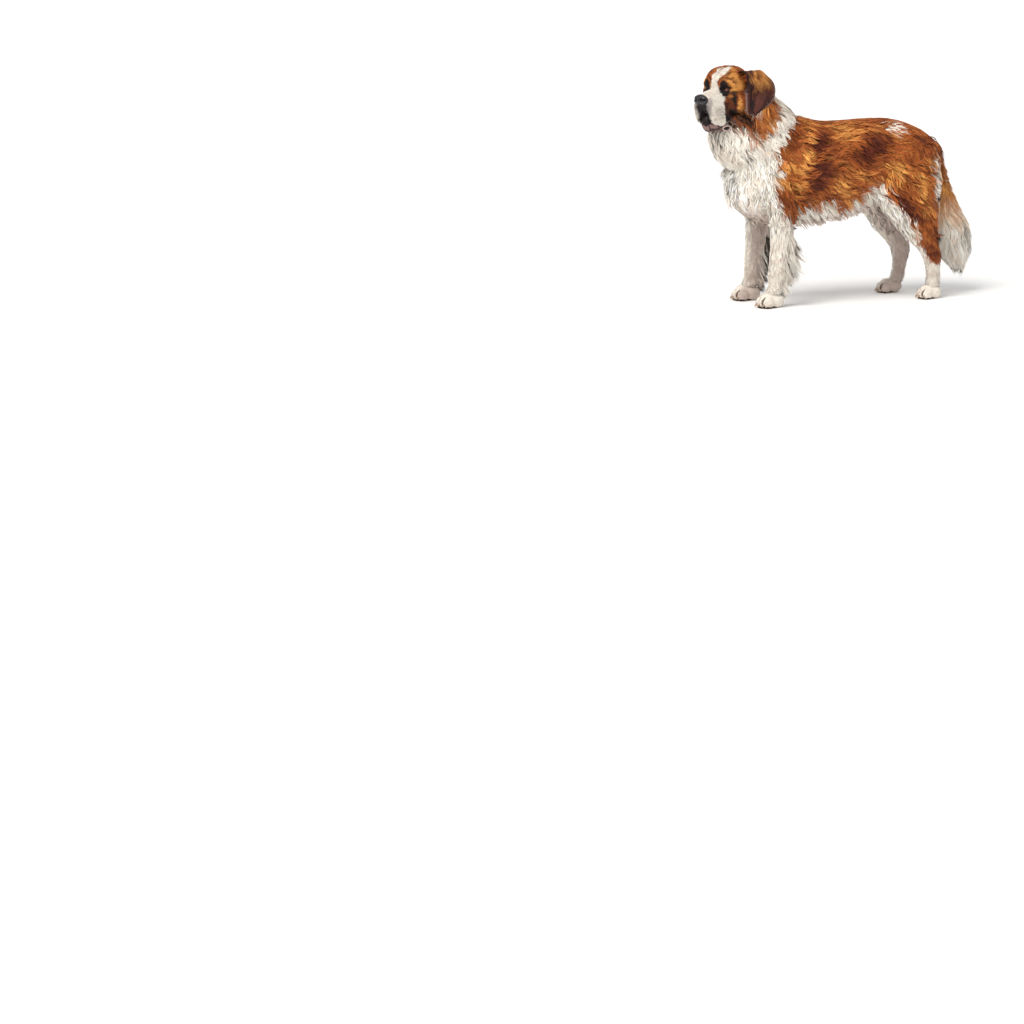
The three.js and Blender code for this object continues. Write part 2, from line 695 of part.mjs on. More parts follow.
add("torso", trunk, COLOURS.coat);
add("neck", neck, COLOURS.white);
add("tail", tail, COLOURS.white);
add("head", head, COLOURS.coat);
add("lower_jaw", jaw, COLOURS.white);
add("nose", noseAt(0), COLOURS.nose);
for (const name of ["left", "right"]) {
  add(`ear_${name}`, ears[name], COLOURS.dark);
  add(`eye_${name}`, parts[`eye_${name}`], COLOURS.eye);
  add(`shoulder_${name}`, parts[`shoulder_${name}`], COLOURS.coat);
  add(`forearm_${name}`, parts[`forearm_${name}`], COLOURS.white);
  add(`forepaw_${name}`, parts[`forepaw_${name}`], COLOURS.white);
  add(`thigh_${name}`, parts[`thigh_${name}`], COLOURS.coat);
  add(`shank_${name}`, parts[`shank_${name}`], COLOURS.white);
  add(`hindpaw_${name}`, parts[`hindpaw_${name}`], COLOURS.white);
}

// The origin is on the floor under the middle of the dog.
const whole = new THREE.Box3().setFromObject(dog);
const middle = whole.getCenter(at(0, 0, 0));
dog.position.set(-middle.x, -middle.y, 0);

export default dog;
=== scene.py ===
"""A Saint Bernard at life size, standing square with its head turned to its left.

The dog faces -Y, its left side is +X and it stands on Z = 0, in metres. Its skin is one mesh that lies
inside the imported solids; the coat is thousands of thin tufts combed over the same forms.
"""
import json
import math

import bmesh
import bpy
import numpy as np
from mathutils import Matrix, Vector
from mathutils.bvhtree import BVHTree
from mathutils.kdtree import KDTree

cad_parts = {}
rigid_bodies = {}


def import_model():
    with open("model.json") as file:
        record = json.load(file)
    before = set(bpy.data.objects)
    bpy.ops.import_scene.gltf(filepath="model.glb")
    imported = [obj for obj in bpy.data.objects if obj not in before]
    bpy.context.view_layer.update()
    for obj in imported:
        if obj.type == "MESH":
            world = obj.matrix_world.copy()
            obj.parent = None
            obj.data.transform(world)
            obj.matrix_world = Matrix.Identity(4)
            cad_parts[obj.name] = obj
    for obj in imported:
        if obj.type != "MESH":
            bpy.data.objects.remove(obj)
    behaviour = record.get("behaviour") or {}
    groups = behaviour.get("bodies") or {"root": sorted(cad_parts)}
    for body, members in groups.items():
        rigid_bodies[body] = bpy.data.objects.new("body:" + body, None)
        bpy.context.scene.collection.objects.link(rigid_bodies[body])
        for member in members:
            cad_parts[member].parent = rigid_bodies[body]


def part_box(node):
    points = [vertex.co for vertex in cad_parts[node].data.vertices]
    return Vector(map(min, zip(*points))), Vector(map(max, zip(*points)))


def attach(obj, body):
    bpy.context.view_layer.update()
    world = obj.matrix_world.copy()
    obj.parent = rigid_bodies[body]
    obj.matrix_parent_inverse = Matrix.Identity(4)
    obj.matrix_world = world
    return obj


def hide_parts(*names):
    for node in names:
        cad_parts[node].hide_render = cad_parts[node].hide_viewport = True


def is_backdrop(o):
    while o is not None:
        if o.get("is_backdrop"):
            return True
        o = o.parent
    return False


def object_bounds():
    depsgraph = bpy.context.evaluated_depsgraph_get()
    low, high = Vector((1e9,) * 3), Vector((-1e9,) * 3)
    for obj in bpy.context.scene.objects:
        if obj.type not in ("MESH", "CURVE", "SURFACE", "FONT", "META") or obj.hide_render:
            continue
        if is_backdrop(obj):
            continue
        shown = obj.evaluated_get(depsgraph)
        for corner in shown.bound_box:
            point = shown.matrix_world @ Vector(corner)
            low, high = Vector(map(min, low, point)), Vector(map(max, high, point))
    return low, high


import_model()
cad_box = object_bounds()
packed_pieces = set(bpy.data.objects)
MM = 0.001

# The camera. It stands far off and a little above the dog's back, as a careful side drawing is seen,
# and takes in the whole sheet that the dog is one corner of.
HEAD_TURN = math.radians(25)
EYES = np.array([0.063, -0.509, 0.899])
EYE_IN_HEAD = np.array([-0.005, 0.049, 0.0])
HEAD_AXES = np.array(
    [
        [math.sin(HEAD_TURN), -math.cos(HEAD_TURN), 0],
        [math.cos(HEAD_TURN), math.sin(HEAD_TURN), 0],
        [0, 0, 1],
    ]
)
eye_low, eye_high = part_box("eye_left")
SHIFT = (np.array(eye_low) + np.array(eye_high)) / 2 - EYES - EYE_IN_HEAD @ HEAD_AXES

VIEW_TURN = math.radians(67)
VIEW_RISE = math.radians(8)
VIEW_DISTANCE = 150.0
SHEET_WIDTH = 4.147
view_right = np.array([math.cos(VIEW_TURN), math.sin(VIEW_TURN), 0])
view_back = np.array(
    [
        math.sin(VIEW_TURN) * math.cos(VIEW_RISE),
        -math.cos(VIEW_TURN) * math.cos(VIEW_RISE),
        math.sin(VIEW_RISE),
    ]
)
view_up = np.cross(view_back, view_right)
sheet_middle = SHIFT - 1.2737 * view_right - 0.8606 * view_up + 0.22 * view_back
camera_data = bpy.data.cameras.new("camera")
camera_data.lens = camera_data.sensor_width * VIEW_DISTANCE / SHEET_WIDTH
camera_data.clip_end = 300
camera = bpy.data.objects.new("camera", camera_data)
turned = Matrix([list(view_right), list(view_up), list(view_back)]).transposed().to_4x4()
camera.matrix_world = Matrix.Translation(sheet_middle + VIEW_DISTANCE * view_back) @ turned
bpy.context.scene.collection.objects.link(camera)
bpy.context.scene.camera = camera


# The floor and the light. A plain pale floor that runs out of sight, lit by a wide soft light from the
# upper left and by an even pale surround.
def linear(red, green, blue):
    """The linear colour of an sRGB colour given from 0 to 255."""
    share = np.array([red, green, blue]) / 255
    return np.where(share > 0.04045, ((share + 0.055) / 1.055) ** 2.4, share / 12.92)


def add_object(name, mesh):
    """A new object of a mesh, at the origin, in the scene."""
    made = bpy.data.objects.new(name, mesh)
    bpy.context.scene.collection.objects.link(made)
    return made


def new_material(name, colour, roughness):
    """A material whose shader has one colour and roughness, with its nodes and links at hand."""
    material = bpy.data.materials.new(name)
    material.use_nodes = True
    shader = material.node_tree.nodes["Principled BSDF"]
    shader.inputs["Base Color"].default_value = (*colour, 1)
    shader.inputs["Roughness"].default_value = roughness
    return material, shader, material.node_tree


FLOOR_REACH = 100.0
floor_mesh = bpy.data.meshes.new("floor")
floor_corners = [(-1, -1), (1, -1), (1, 1), (-1, 1)]
floor_points = [(x * FLOOR_REACH, y * FLOOR_REACH, -0.0005) for x, y in floor_corners]
floor_mesh.from_pydata(floor_points, [], [(0, 1, 2, 3)])
floor = add_object("floor", floor_mesh)
floor_paint, floor_shader, _ = new_material("pale_floor", linear(250, 250, 250), 0.9)
floor_mesh.materials.append(floor_paint)
floor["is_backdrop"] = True

world = bpy.data.worlds.new("studio")
bpy.context.scene.world = world
world.use_nodes = True
world.node_tree.nodes["Background"].inputs["Color"].default_value = (1.0, 0.995, 0.99, 1)
world.node_tree.nodes["Background"].inputs["Strength"].default_value = 0.68
lamp_data = bpy.data.lights.new("key_light", "SUN")
lamp_data.energy = 2.3
lamp_data.angle = math.radians(34)
lamp_data.color = (1.0, 0.97, 0.93)
lamp = bpy.data.objects.new("key_light", lamp_data)
toward_lamp = Vector(0.9 * view_back - 0.55 * view_right + np.array([0, 0, 1.25]))
lamp.rotation_mode = "QUATERNION"
lamp.rotation_quaternion = toward_lamp.to_track_quat("Z", "Y")
bpy.context.scene.collection.objects.link(lamp)
bpy.context.scene.view_settings.view_transform = "Standard"

# The body under the coat. Trunk, neck, tail and legs are tubes over a few measured ovals, melted into
# one skin. Each station is x, y, z, then the oval's reach to the side, back and front, and its lean.
TRUNK = [
    [0, -408, 500, 74, 84, 84, 90],
    [0, -384, 508, 104, 118, 118, 90],
    [0, -350, 516, 130, 150, 154, 90],
    [0, -290, 535, 150, 182, 194, 90],
    [0, -205, 545, 166, 204, 218, 90],
    [0, -120, 550, 171, 204, 224, 90],
    [0, -20, 548, 170, 184, 212, 90],
    [0, 80, 552, 164, 178, 192, 90],
    [0, 180, 560, 156, 172, 168, 90],
    [0, 270, 570, 152, 158, 152, 90],
    [0, 350, 575, 148, 132, 140, 90],
    [0, 420, 572, 130, 98, 116, 90],
    [0, 462, 566, 96, 66, 76, 90],
]
NECK = [
    [0, -238, 600, 138, 132, 172, 28],
    [2, -285, 695, 140, 150, 206, 35],
    [8, -335, 770, 130, 122, 212, 38],
    [14, -368, 835, 108, 102, 184, 42],
    [20, -392, 880, 92, 76, 96, 46],
]
TAIL = [
    [0, 418, 640, 34, 30, 34, 50],
    [0, 464, 588, 34, 34, 36, 30],
    [0, 488, 505, 34, 34, 34, 12],
    [0, 505, 420, 38, 44, 40, 10],
    [0, 532, 326, 44, 56, 52, 12],
    [0, 560, 232, 46, 74, 70, 14],
    [0, 577, 162, 34, 46, 56, 8],
    [0, 584, 112, 12, 14, 20, 4],
]
SHOULDER = [
    [104, -268, 610, 42, 58, 66, 0],
    [118, -268, 530, 52, 78, 82, 0],
    [124, -256, 450, 48, 72, 72, 0],
    [127, -246, 385, 43, 60, 60, 0],
    [127, -248, 330, 40, 48, 52, 0],
]
FOREARM = [
    [127, -248, 330, 40, 48, 52, 0],
    [127, -255, 255, 36, 41, 46, 0],
    [126, -263, 190, 34, 36, 41, 0],
    [125, -269, 142, 36, 36, 39, 0],
    [125, -273, 98, 34, 33, 36, 0],
    [125, -284, 58, 36, 36, 40, 0],
]
THIGH = [
    [98, 345, 625, 44, 74, 84, 0],
    [114, 328, 545, 54, 116, 128, 0],
    [122, 316, 466, 55, 140, 148, 0],
    [126, 312, 392, 51, 128, 132, 0],
    [126, 338, 322, 45, 98, 98, 0],
    [125, 362, 262, 39, 72, 74, 0],
]
SHANK = [
    [125, 362, 262, 39, 72, 74, 0],
    [121, 398, 208, 33, 50, 50, 0],
    [118, 415, 172, 31, 44, 42, 0],
    [115, 421, 118, 29, 33, 31, 0],
    [114, 423, 72, 31, 32, 32, 0],
    [114, 418, 44, 33, 34, 34, 0],
]
HIND_STAGGER = 0.075
CAP_SHARE = 0.06


def right_of(stations, hind):
    """The same stations on the right side; the right hind leg stands further forward, more so lower."""
    table = np.array(stations, float)
    table[:, 0] *= -1
    if hind:
        table[:, 1] -= HIND_STAGGER / MM * np.maximum(0, 1 - table[:, 2] / 520) ** 1.8
    return table


def read_stations(stations, u):
    """Every column of the station table at share u, on a smooth curve through evenly spaced rows."""
    place = u * (len(stations) - 1)
    i = np.clip(np.floor(place).astype(int), 0, len(stations) - 2)
    t = (place - i)[..., None]
    ends = [2 * stations[:1] - stations[1:2], stations, 2 * stations[-1:] - stations[-2:-1]]
    a, b, c, d = (np.concatenate(ends)[i + k] for k in range(4))
    return b + 0.5 * t * (c - a + t * (2 * a - 5 * b + 4 * c - d + t * (3 * (b - c) + d - a)))


def make_tube(stations, depth, dome=(10, 10), square=2.0):
    """A tube's facts in metres: its stations, end domes, squareness and how deep the skin lies."""
    table = np.array(stations, float)
    table[:, :6] *= MM
    ends = read_stations(table, np.array([0, 0.02, 0.98, 1]))[:, :3]
    ahead = np.array([ends[0] - ends[1], ends[3] - ends[2]])
    ahead /= np.linalg.norm(ahead, axis=1, keepdims=True)
    return {
        "stations": table,
        "depth": depth * MM,
        "dome": np.array(dome) * MM,
        "square": square,
        "ahead": ahead,
    }


def on_tube(tube, u, v, grow=0.0):
    """Points at share u along a tube and turn v round it, grown outwards.

    A point is the oval's centre, plus a rounded cosine of the turn times its side reach, plus a rounded
    sine times its back or front reach along the leaning axis. Past either end the oval shrinks over a
    dome, by the cosine of how far past it lies.
    """
    inside = np.clip(u, 0, 1)
    x, y, z, side, back, front, lean = np.moveaxis(read_stations(tube["stations"], inside), -1, 0)
    past = np.clip(np.abs(u - inside) / CAP_SHARE, 0, 1) * np.pi / 2
    c, s = np.cos(2 * np.pi * v), np.sin(2 * np.pi * v)
    power = 2 / tube["square"]
    least = 0.003
    across = np.sign(c) * np.abs(c) ** power * np.maximum(side + grow, least) * np.cos(past)
    reach = np.maximum(np.where(s > 0, back, front) + grow, least)
    along = np.sign(s) * np.abs(s) ** power * reach * np.cos(past)
    lean = np.radians(lean)
    spot = np.stack([x + across, y + along * np.cos(lean), z + along * np.sin(lean)], -1)
    end = (np.asarray(u) > 0.5).astype(int)
    push = np.maximum(tube["dome"][end] + grow, least) * np.sin(past)
    return spot + SHIFT + push[..., None] * tube["ahead"][end]


TUBES = {
    "trunk": make_tube(TRUNK, 15, (18, 18), 2.2),
    "neck": make_tube(NECK, 32, (40, 22)),
    "tail": make_tube(TAIL, 24, (16, 20)),
}
for name, stations, depth, hind in [
    ("shoulder", SHOULDER, 7, False),
    ("forearm", FOREARM, 5, False),
    ("thigh", THIGH, 10, True),
    ("shank", SHANK, 5, True),
]:
    TUBES[name + "_left"] = make_tube(stations, depth)
    TUBES[name + "_right"] = make_tube(right_of(stations, hind), depth)


def grid_faces(rows, around, first=0):
    """Quads of a grid of rows of points that close round, as corner numbers."""
    i, k = np.meshgrid(np.arange(rows - 1), np.arange(around), indexing="ij")
    a = first + i * around + k
    b = first + i * around + (k + 1) % around
    return np.stack([a, b, b + around, a + around], -1).reshape(-1, 4)


def mesh_of(name, points, faces):
    """A mesh from whole arrays of points and of faces that all have the same number of corners."""
    mesh = bpy.data.meshes.new(name)
    count, corners = faces.shape
    mesh.vertices.add(len(points))
    mesh.vertices.foreach_set("co", np.ascontiguousarray(points, dtype=np.float32).ravel())
    mesh.loops.add(count * corners)
    mesh.loops.foreach_set("vertex_index", np.ascontiguousarray(faces, dtype=np.int32).ravel())
    mesh.polygons.add(count)
    mesh.polygons.foreach_set("loop_start", np.arange(0, count * corners, corners, dtype=np.int32))
    mesh.polygons.foreach_set("use_smooth", np.ones(count, bool))
    mesh.update(calc_edges=True)
    mesh.validate()
    return mesh


def joined(shells):
    """One array of points and one of faces from several."""
    points, faces, first = [], [], 0
    for shell_points, shell_faces in shells:
        points.append(shell_points.reshape(-1, 3))
        faces.append(shell_faces + first)
        first += len(points[-1])
    return np.concatenate(points), np.concatenate(faces)


def tube_shell(tube, grow, rows=60, around=48):
    """The closed surface of a tube, its end rows shrunk to a point on each dome."""
    u = np.linspace(-CAP_SHARE, 1 + CAP_SHARE, rows)[:, None]
    v = np.arange(around)[None, :] / around
    return on_tube(tube, *np.broadcast_arrays(u, v), grow), grid_faces(rows, around)


def oval_shell(centre, size, rows=14, around=20):
    """A closed oval: the sine and cosine of latitude and turn times its three reaches."""
    tilt = np.linspace(0, np.pi, rows)[:, None]
    turn = np.arange(around)[None, :] * 2 * np.pi / around
    level = np.sin(tilt)
    ball = np.stack(np.broadcast_arrays(level * np.cos(turn), level * np.sin(turn), np.cos(tilt)), -1)
    return ball * np.array(size) + np.array(centre), grid_faces(rows, around)[:, ::-1]


def melted(name, shells, voxel, smoothing):
    """The outer skin of several closed shells: they are remeshed as one and then smoothed."""
    lump = add_object(name, mesh_of(name, *joined(shells)))
    remesh = lump.modifiers.new("melt", "REMESH")
    remesh.mode = "VOXEL"
    remesh.voxel_size = voxel
    relax = lump.modifiers.new("relax", "SMOOTH")
    relax.factor = 0.5
    relax.iterations = smoothing
    made = lump.evaluated_get(bpy.context.evaluated_depsgraph_get()).to_mesh()
    points = np.empty(len(made.vertices) * 3, np.float32)
    made.vertices.foreach_get("co", points)
    corners = np.empty(len(made.loops), np.int32)
    made.loops.foreach_get("vertex_index", corners)
    lump.to_mesh_clear()
    bpy.data.objects.remove(lump)
    return points.reshape(-1, 3).astype(float), corners.reshape(-1, 4)


FLANK_FOLD = {"at": [0.015, 0.170, 0.398], "size": [0.034, 0.056, 0.032]}
body_shells = [tube_shell(tube, -tube["depth"]) for tube in TUBES.values()]
body_shells.append(oval_shell(np.array(FLANK_FOLD["at"]) + SHIFT, FLANK_FOLD["size"]))
body_points, body_faces = melted("body_lump", body_shells, 0.008, 8)

# The paws: a heel pad and an instep with four arched toes, close together and flat underneath.
PAW_WIDTH = 0.100
PAW_LENGTH = 0.122
FORE_PAW = {"x": 0.125, "y": -0.303, "turn": 4, "scale": 0.96}
HIND_PAW = {"x": 0.118, "y": 0.402, "turn": 5, "scale": 0.86}
TOES = [-1.5, -0.5, 0.5, 1.5]
PAW_COAT = 0.0025


def paw_frames():
    """The middle, turn and size of each of the four paws."""
    for place, hind in [(FORE_PAW, False), (HIND_PAW, True)]:
        for side in (1, -1):
            ahead = HIND_STAGGER if hind and side < 0 else 0
            middle = np.array([side * place["x"], place["y"] - ahead, 0]) + SHIFT
            turn = math.radians(side * place["turn"])
            c, s = math.cos(turn), math.sin(turn)
            axes = np.array([[c, s, 0], [-s, c, 0], [0, 0, 1]])
            yield middle, axes * place["scale"]


def toe_middle(toe):
    """Where a toe's oval sits in the paw; the two inner toes reach further ahead."""
    return np.array([toe * PAW_WIDTH * 0.22, -PAW_LENGTH * (0.27 if abs(toe) < 1 else 0.17), 0.024])


paw_shells = []
for middle, axes in paw_frames():
    lumps = [
        oval_shell([0, 0.022, 0.030], np.array([PAW_WIDTH * 0.42, PAW_LENGTH * 0.37, 0.036]) - PAW_COAT),
        oval_shell([0, -0.006, 0.038], np.array([PAW_WIDTH * 0.37, PAW_LENGTH * 0.33, 0.030]) - PAW_COAT),
    ]
    for toe in TOES:
        size = np.array([PAW_WIDTH * 0.15, PAW_LENGTH * 0.22, 0.027]) - PAW_COAT
        lumps.append(oval_shell(toe_middle(toe), size))
    for points, faces in lumps:
        points[..., 2] = np.maximum(points[..., 2], 0.001 / axes[2, 2])
        paw_shells.append((points @ axes + middle, faces))
paw_points, paw_faces = melted("paw_lump", paw_shells, 0.0028, 5)

# The head. A broad domed skull with a steep stop, a short deep muzzle and hanging flews, blended from
# ovals and found along rays. In its own frame X is ahead, Y left and Z up from between the eyes.
HEAD_FORMS = [
    # middle, reach and softness in millimetres: skull, forehead, brow, cheekbone, cheek
    [-78, 0, 0, 92, 82, 86, 1],
    [-32, 24, 30, 50, 46, 46, 30],
    [-6, 43, 15, 23, 25, 15, 24],
    [-30, 56, -18, 44, 24, 24, 24],
    [-62, 50, -52, 60, 46, 58, 26],
    # bridge, muzzle, whisker pad, front and rear flew, muzzle root
    [34, 0, -36, 46, 32, 31, 20],
    [60, 0, -46, 46, 42, 33, 16],
    [68, 24, -66, 33, 27, 32, 14],
    [54, 37, -94, 35, 20, 50, 14],
    [22, 44, -104, 34, 19, 48, 14],
    [10, 32, -58, 48, 31, 46, 22],
    # throat, lids
    [-74, 0, -96, 62, 46, 54, 24],
    [-6, 49, 0, 17, 17.5, 15.5, 9],
]
FURROW = [0, 0, 70, 50, 4, 20, 18]
HEAD_COAT = 0.003


def outside_oval(p, form):
    """About how far points lie outside an oval: its own distance less one, over its slope."""
    q = p - np.array(form[:3]) * MM
    size = np.array(form[3:6]) * MM
    near = np.linalg.norm(q / size, axis=-1)
    slope = np.linalg.norm(q / size**2, axis=-1)
    return near * (near - 1) / np.maximum(slope, 1e-6)


def soft_min(a, b, k):
    """The lesser of two distances, rounded over a width k where they meet."""
    h = np.maximum(k - np.abs(a - b), 0) / k
    return np.minimum(a, b) - h * h * k / 4


def blended(forms, hollows=()):
    """A field that is negative inside a blend of ovals on both sides of the middle, less hollows."""

    def field(p):
        q = np.stack([p[..., 0], np.abs(p[..., 1]), p[..., 2]], -1)
        value = np.full(q.shape[:-1], 1.0)
        for form in forms:
            value = soft_min(value, outside_oval(q, form), form[6] * MM)
        for form in hollows:
            value = -soft_min(-value, outside_oval(q, form), form[6] * MM)
        return value

    return field


def rayed(field, start, end, rows, around, level, reach):
    """A grid of points where a field reaches a level.

    The rays' root slides along a line while they swing from backwards, through sideways, to forwards;
    each point marches inwards along its ray by most of the field's value until it settles.
    """
    start, end = np.array(start) * MM, np.array(end) * MM
    share = np.linspace(0, 1, rows)[:, None]
    turn = np.arange(around)[None, :] * 2 * np.pi / around
    share, turn = np.broadcast_arrays(share, turn)
    ahead = (end - start) / np.linalg.norm(end - start)
    left = np.array([0, 1, 0])
    up = np.cross(ahead, left)
    swing = np.pi * (1 - share)
    root = start + (end - start) * (share * share * (3 - 2 * share))[..., None]
    sideways = left * np.cos(turn)[..., None] + up * np.sin(turn)[..., None]
    ray = ahead * np.cos(swing)[..., None] + sideways * np.sin(swing)[..., None]
    far = np.full(share.shape, reach * MM)
    for _ in range(60):
        far = far - 0.85 * (field(root + ray * far[..., None]) - level)
    return root + ray * far[..., None]


def from_head(p):
    """Points from the head's own frame to the dog's."""
    return p @ HEAD_AXES + EYES + SHIFT


def to_head(p):
    """Points from the dog's frame to the head's own."""
    return (p - EYES - SHIFT) @ HEAD_AXES.T


HEAD_ROWS = 150
HEAD_AROUND = 190
EYE_RADIUS = 0.013
SOCKETS = [[-5, 49, 0, 14.5, 14.5, 14.5, 2]]
head_field = blended(HEAD_FORMS, [FURROW])
eye_axis = np.array([math.cos(math.radians(22)), math.sin(math.radians(22)), 0])
eye_side = np.array([-eye_axis[1], eye_axis[0], 0])


def almond(p, width=0.0135, height=0.0065, depth=0.016):
    """How far points lie outside the almond opening between the lids, on either side."""
    q = np.stack([p[..., 0], np.abs(p[..., 1]), p[..., 2]], -1) - EYE_IN_HEAD
    ahead = (q @ eye_axis - EYE_RADIUS) / depth
    across = q @ eye_side / width
    rise = q[..., 2] / height
    return (np.sqrt(ahead**2 + across**2 + rise**2) - 1) * height


def head_with_sockets(p):
    """The head's field with the almond openings cut in."""
    return np.maximum(head_field(p), -almond(p))


head_grid = rayed(head_with_sockets, (-80, 0, -20), (64, 0, -62), HEAD_ROWS, HEAD_AROUND, -HEAD_COAT, 260)
head_skin = from_head(head_grid)

skin_points, skin_faces = joined(
    [(body_points, body_faces), (paw_points, paw_faces), (head_skin, grid_faces(HEAD_ROWS, HEAD_AROUND))]
)

# The coat's colours: a rust saddle with gold and mahogany in it, white chest, collar, blaze, legs and
# tail plume, and a dark mask, with some painted highlights and painted shade. The same markings and
# painted light colour the skin and every tuft that grows from it.
CREAM = linear(244, 235, 222)
SHADE = linear(210, 190, 172)
MAUVE = linear(172, 146, 138)
RUST = linear(158, 82, 32)
GOLD = linear(230, 158, 80)
MAHOGANY = linear(86, 32, 13)
BLACK_BROWN = linear(24, 14, 13)
MAROON = linear(60, 25, 20)


def eased(low, high, value):
    """Nought below low, one above high, and a smooth rise between."""
    t = np.clip((value - low) / (high - low), 0, 1)
    return t * t * (3 - 2 * t)


def mixed(a, b, share):
    """Colours a and b mixed by a share for each point."""
    return a + (b - a) * share[..., None]


def ripple(p, size, seed):
    """A soft uneven value from -1 to 1: the mean of a few sine waves in seeded directions."""
    draw = np.random.default_rng(seed)
    total = np.zeros(p.shape[:-1])
    for _ in range(5):
        way = draw.normal(size=3)
        way *= 2 * np.pi / (size * draw.uniform(0.6, 1.6)) / np.linalg.norm(way)
        total += np.sin(p @ way + draw.uniform(0, 6.28))
    return total / 2.6


def in_patch(p, centre, reach):
    """One inside an oval patch, fading to nought over its outer third."""
    near = np.linalg.norm((p - np.array(centre)) / np.array(reach), axis=-1)
    return 1 - eased(0.75, 1.15, near)


# Where the saddle turns gold or dark, partly the coat's own gold and mahogany and partly painted
# highlights and painted shade, as behind the shoulder: y, z, reach along and up, slant and how much.
SADDLE_DABS = [
    (-0.143, 0.640, 0.022, 0.090, 0.35, 0.9),
    (-0.235, 0.560, 0.020, 0.080, 0.20, 0.6),
    (-0.185, 0.470, 0.018, 0.070, 0.10, 0.5),
    (-0.095, 0.530, 0.038, 0.065, 0.40, -1.1),
    (-0.070, 0.665, 0.045, 0.040, 0.60, -0.8),
    (0.135, 0.615, 0.065, 0.052, 0.30, -1.3),
    (0.060, 0.690, 0.090, 0.025, 0.00, 0.35),
    (0.020, 0.490, 0.060, 0.045, 0.60, 0.35),
    (0.250, 0.515, 0.040, 0.055, 0.10, 0.8),
    (0.360, 0.450, 0.020, 0.080, -0.20, 0.7),
    (0.300, 0.370, 0.035, 0.045, -0.50, -1.0),
    (0.390, 0.640, 0.060, 0.040, 0.00, -0.3),
    (-0.215, 0.360, 0.020, 0.030, 0.00, -0.4),
]


def body_tone(p):
    """The coat's colour on the body at points in the dog's frame before its shift."""
    x, y, z = p[..., 0], p[..., 1], p[..., 2]
    rough = 0.010 * ripple(p, 0.05, 3) + 0.006 * ripple(p, 0.018, 4)
    streak = np.stack([x * 1.0, y * 0.7, z * 1.3], -1)
    warm = 0.5 + 0.22 * ripple(streak, 0.16, 11) + 0.3 * ripple(streak, 0.04, 12)
    for dab_y, dab_z, reach_y, reach_z, slant, amount in SADDLE_DABS:
        aside = (y - dab_y - slant * (z - dab_z)) / reach_y
        warm = warm + amount * np.exp(-(aside**2) - ((z - dab_z) / reach_z) ** 2)
    rust = mixed(MAHOGANY, RUST, eased(-0.15, 0.55, warm))
    rust = mixed(rust, GOLD, eased(0.52, 1.2, warm))
    white = mixed(CREAM, SHADE, 0.5 * eased(0.1, 0.9, ripple(streak, 0.08, 21)))
    front = np.interp(
        z,
        [0.336, 0.387, 0.458, 0.597, 0.620, 0.714, 0.766, 0.800],
        [-0.213, -0.265, -0.282, -0.261, -0.290, -0.231, -0.151, 0.050],
    )
    pale = eased(-0.009, 0.009, front - y + rough)
    belly = np.interp(
        y,
        [-0.26, -0.215, -0.170, -0.155, -0.100, -0.044, -0.016, -0.010, 0.039, 0.085, 0.141, 0.175],
        [0.330, 0.335, 0.350, 0.395, 0.385, 0.422, 0.412, 0.366, 0.374, 0.420, 0.445, 0.452],
    )
    under = eased(-0.010, 0.010, belly - z + rough) * eased(-0.01, 0.01, 0.178 - y)
    low_fore = eased(-0.01, 0.01, 0.330 - z + rough) * (y < 0)
    pale = np.maximum(pale, np.maximum(under, low_fore))
    stagger = np.where(x < 0, HIND_STAGGER * np.maximum(0, 1 - z / 0.52) ** 1.8, 0)
    thigh_line = np.interp(
        z,
        [0.127, 0.149, 0.191, 0.232, 0.282, 0.348, 0.414, 0.463, 0.50, 0.51],
        [0.470, 0.408, 0.372, 0.349, 0.328, 0.275, 0.221, 0.187, 0.15, -0.1],
    )
    groin = np.interp(z, [0.37, 0.42], [0.08, 0.168])
    hind = eased(-0.008, 0.008, thigh_line - y - stagger + rough) * eased(-0.006, 0.006, y - groin)
    hock = np.interp(z, [0.14, 0.20, 0.29, 0.36], [0.46, 0.43, 0.39, 0.43])
    inner = eased(0.0, 0.02, 0.122 - np.abs(x)) * (z < 0.44) * (z > 0.1) * (y > 0.1) * (y < hock)
    streak_rear = in_patch(p, [0, 0.437, 0.46], [0.2, 0.026, 0.15])
    pale = np.maximum.reduce([pale, hind, inner, streak_rear])
    pale = np.maximum(pale, in_patch(p + rough[..., None], [0.085, 0.278, 0.702], [0.06, 0.040, 0.022]))
    either_side = np.stack([np.abs(x), y, z], -1) + rough[..., None]
    under_ear = in_patch(either_side, [0.10, -0.378, 0.772], [0.12, 0.075, 0.058])
    slanted = np.stack([np.abs(x), y - 0.45 * (z - 0.785), z], -1)
    neck_side = in_patch(slanted + rough[..., None], [0.12, -0.306, 0.778], [0.085, 0.060, 0.110])
    pale = pale * (1 - np.maximum(neck_side, under_ear))
    # On the inner legs and underside the white turns mauve-grey: partly painted shade, partly the
    # grey-pink skin under the thin coat.
    inner_shade_and_skin = (1 - eased(0.085, 0.125, np.abs(x))) * (1 - eased(0.36, 0.44, z)) * (y < 0.47)
    white = mixed(white, MAUVE, 0.65 * inner_shade_and_skin)
    colour = mixed(rust, white, pale)
    fold = in_patch(p, FLANK_FOLD["at"], np.array(FLANK_FOLD["size"]) + 0.012)
    colour = mixed(colour, linear(168, 138, 134), fold)
    on_tail = y > np.interp(z, [0.1, 0.3, 0.5, 0.6, 0.62], [0.49, 0.475, 0.46, 0.46, 0.6])
    return np.where(on_tail[..., None], tail_tone(p), colour)


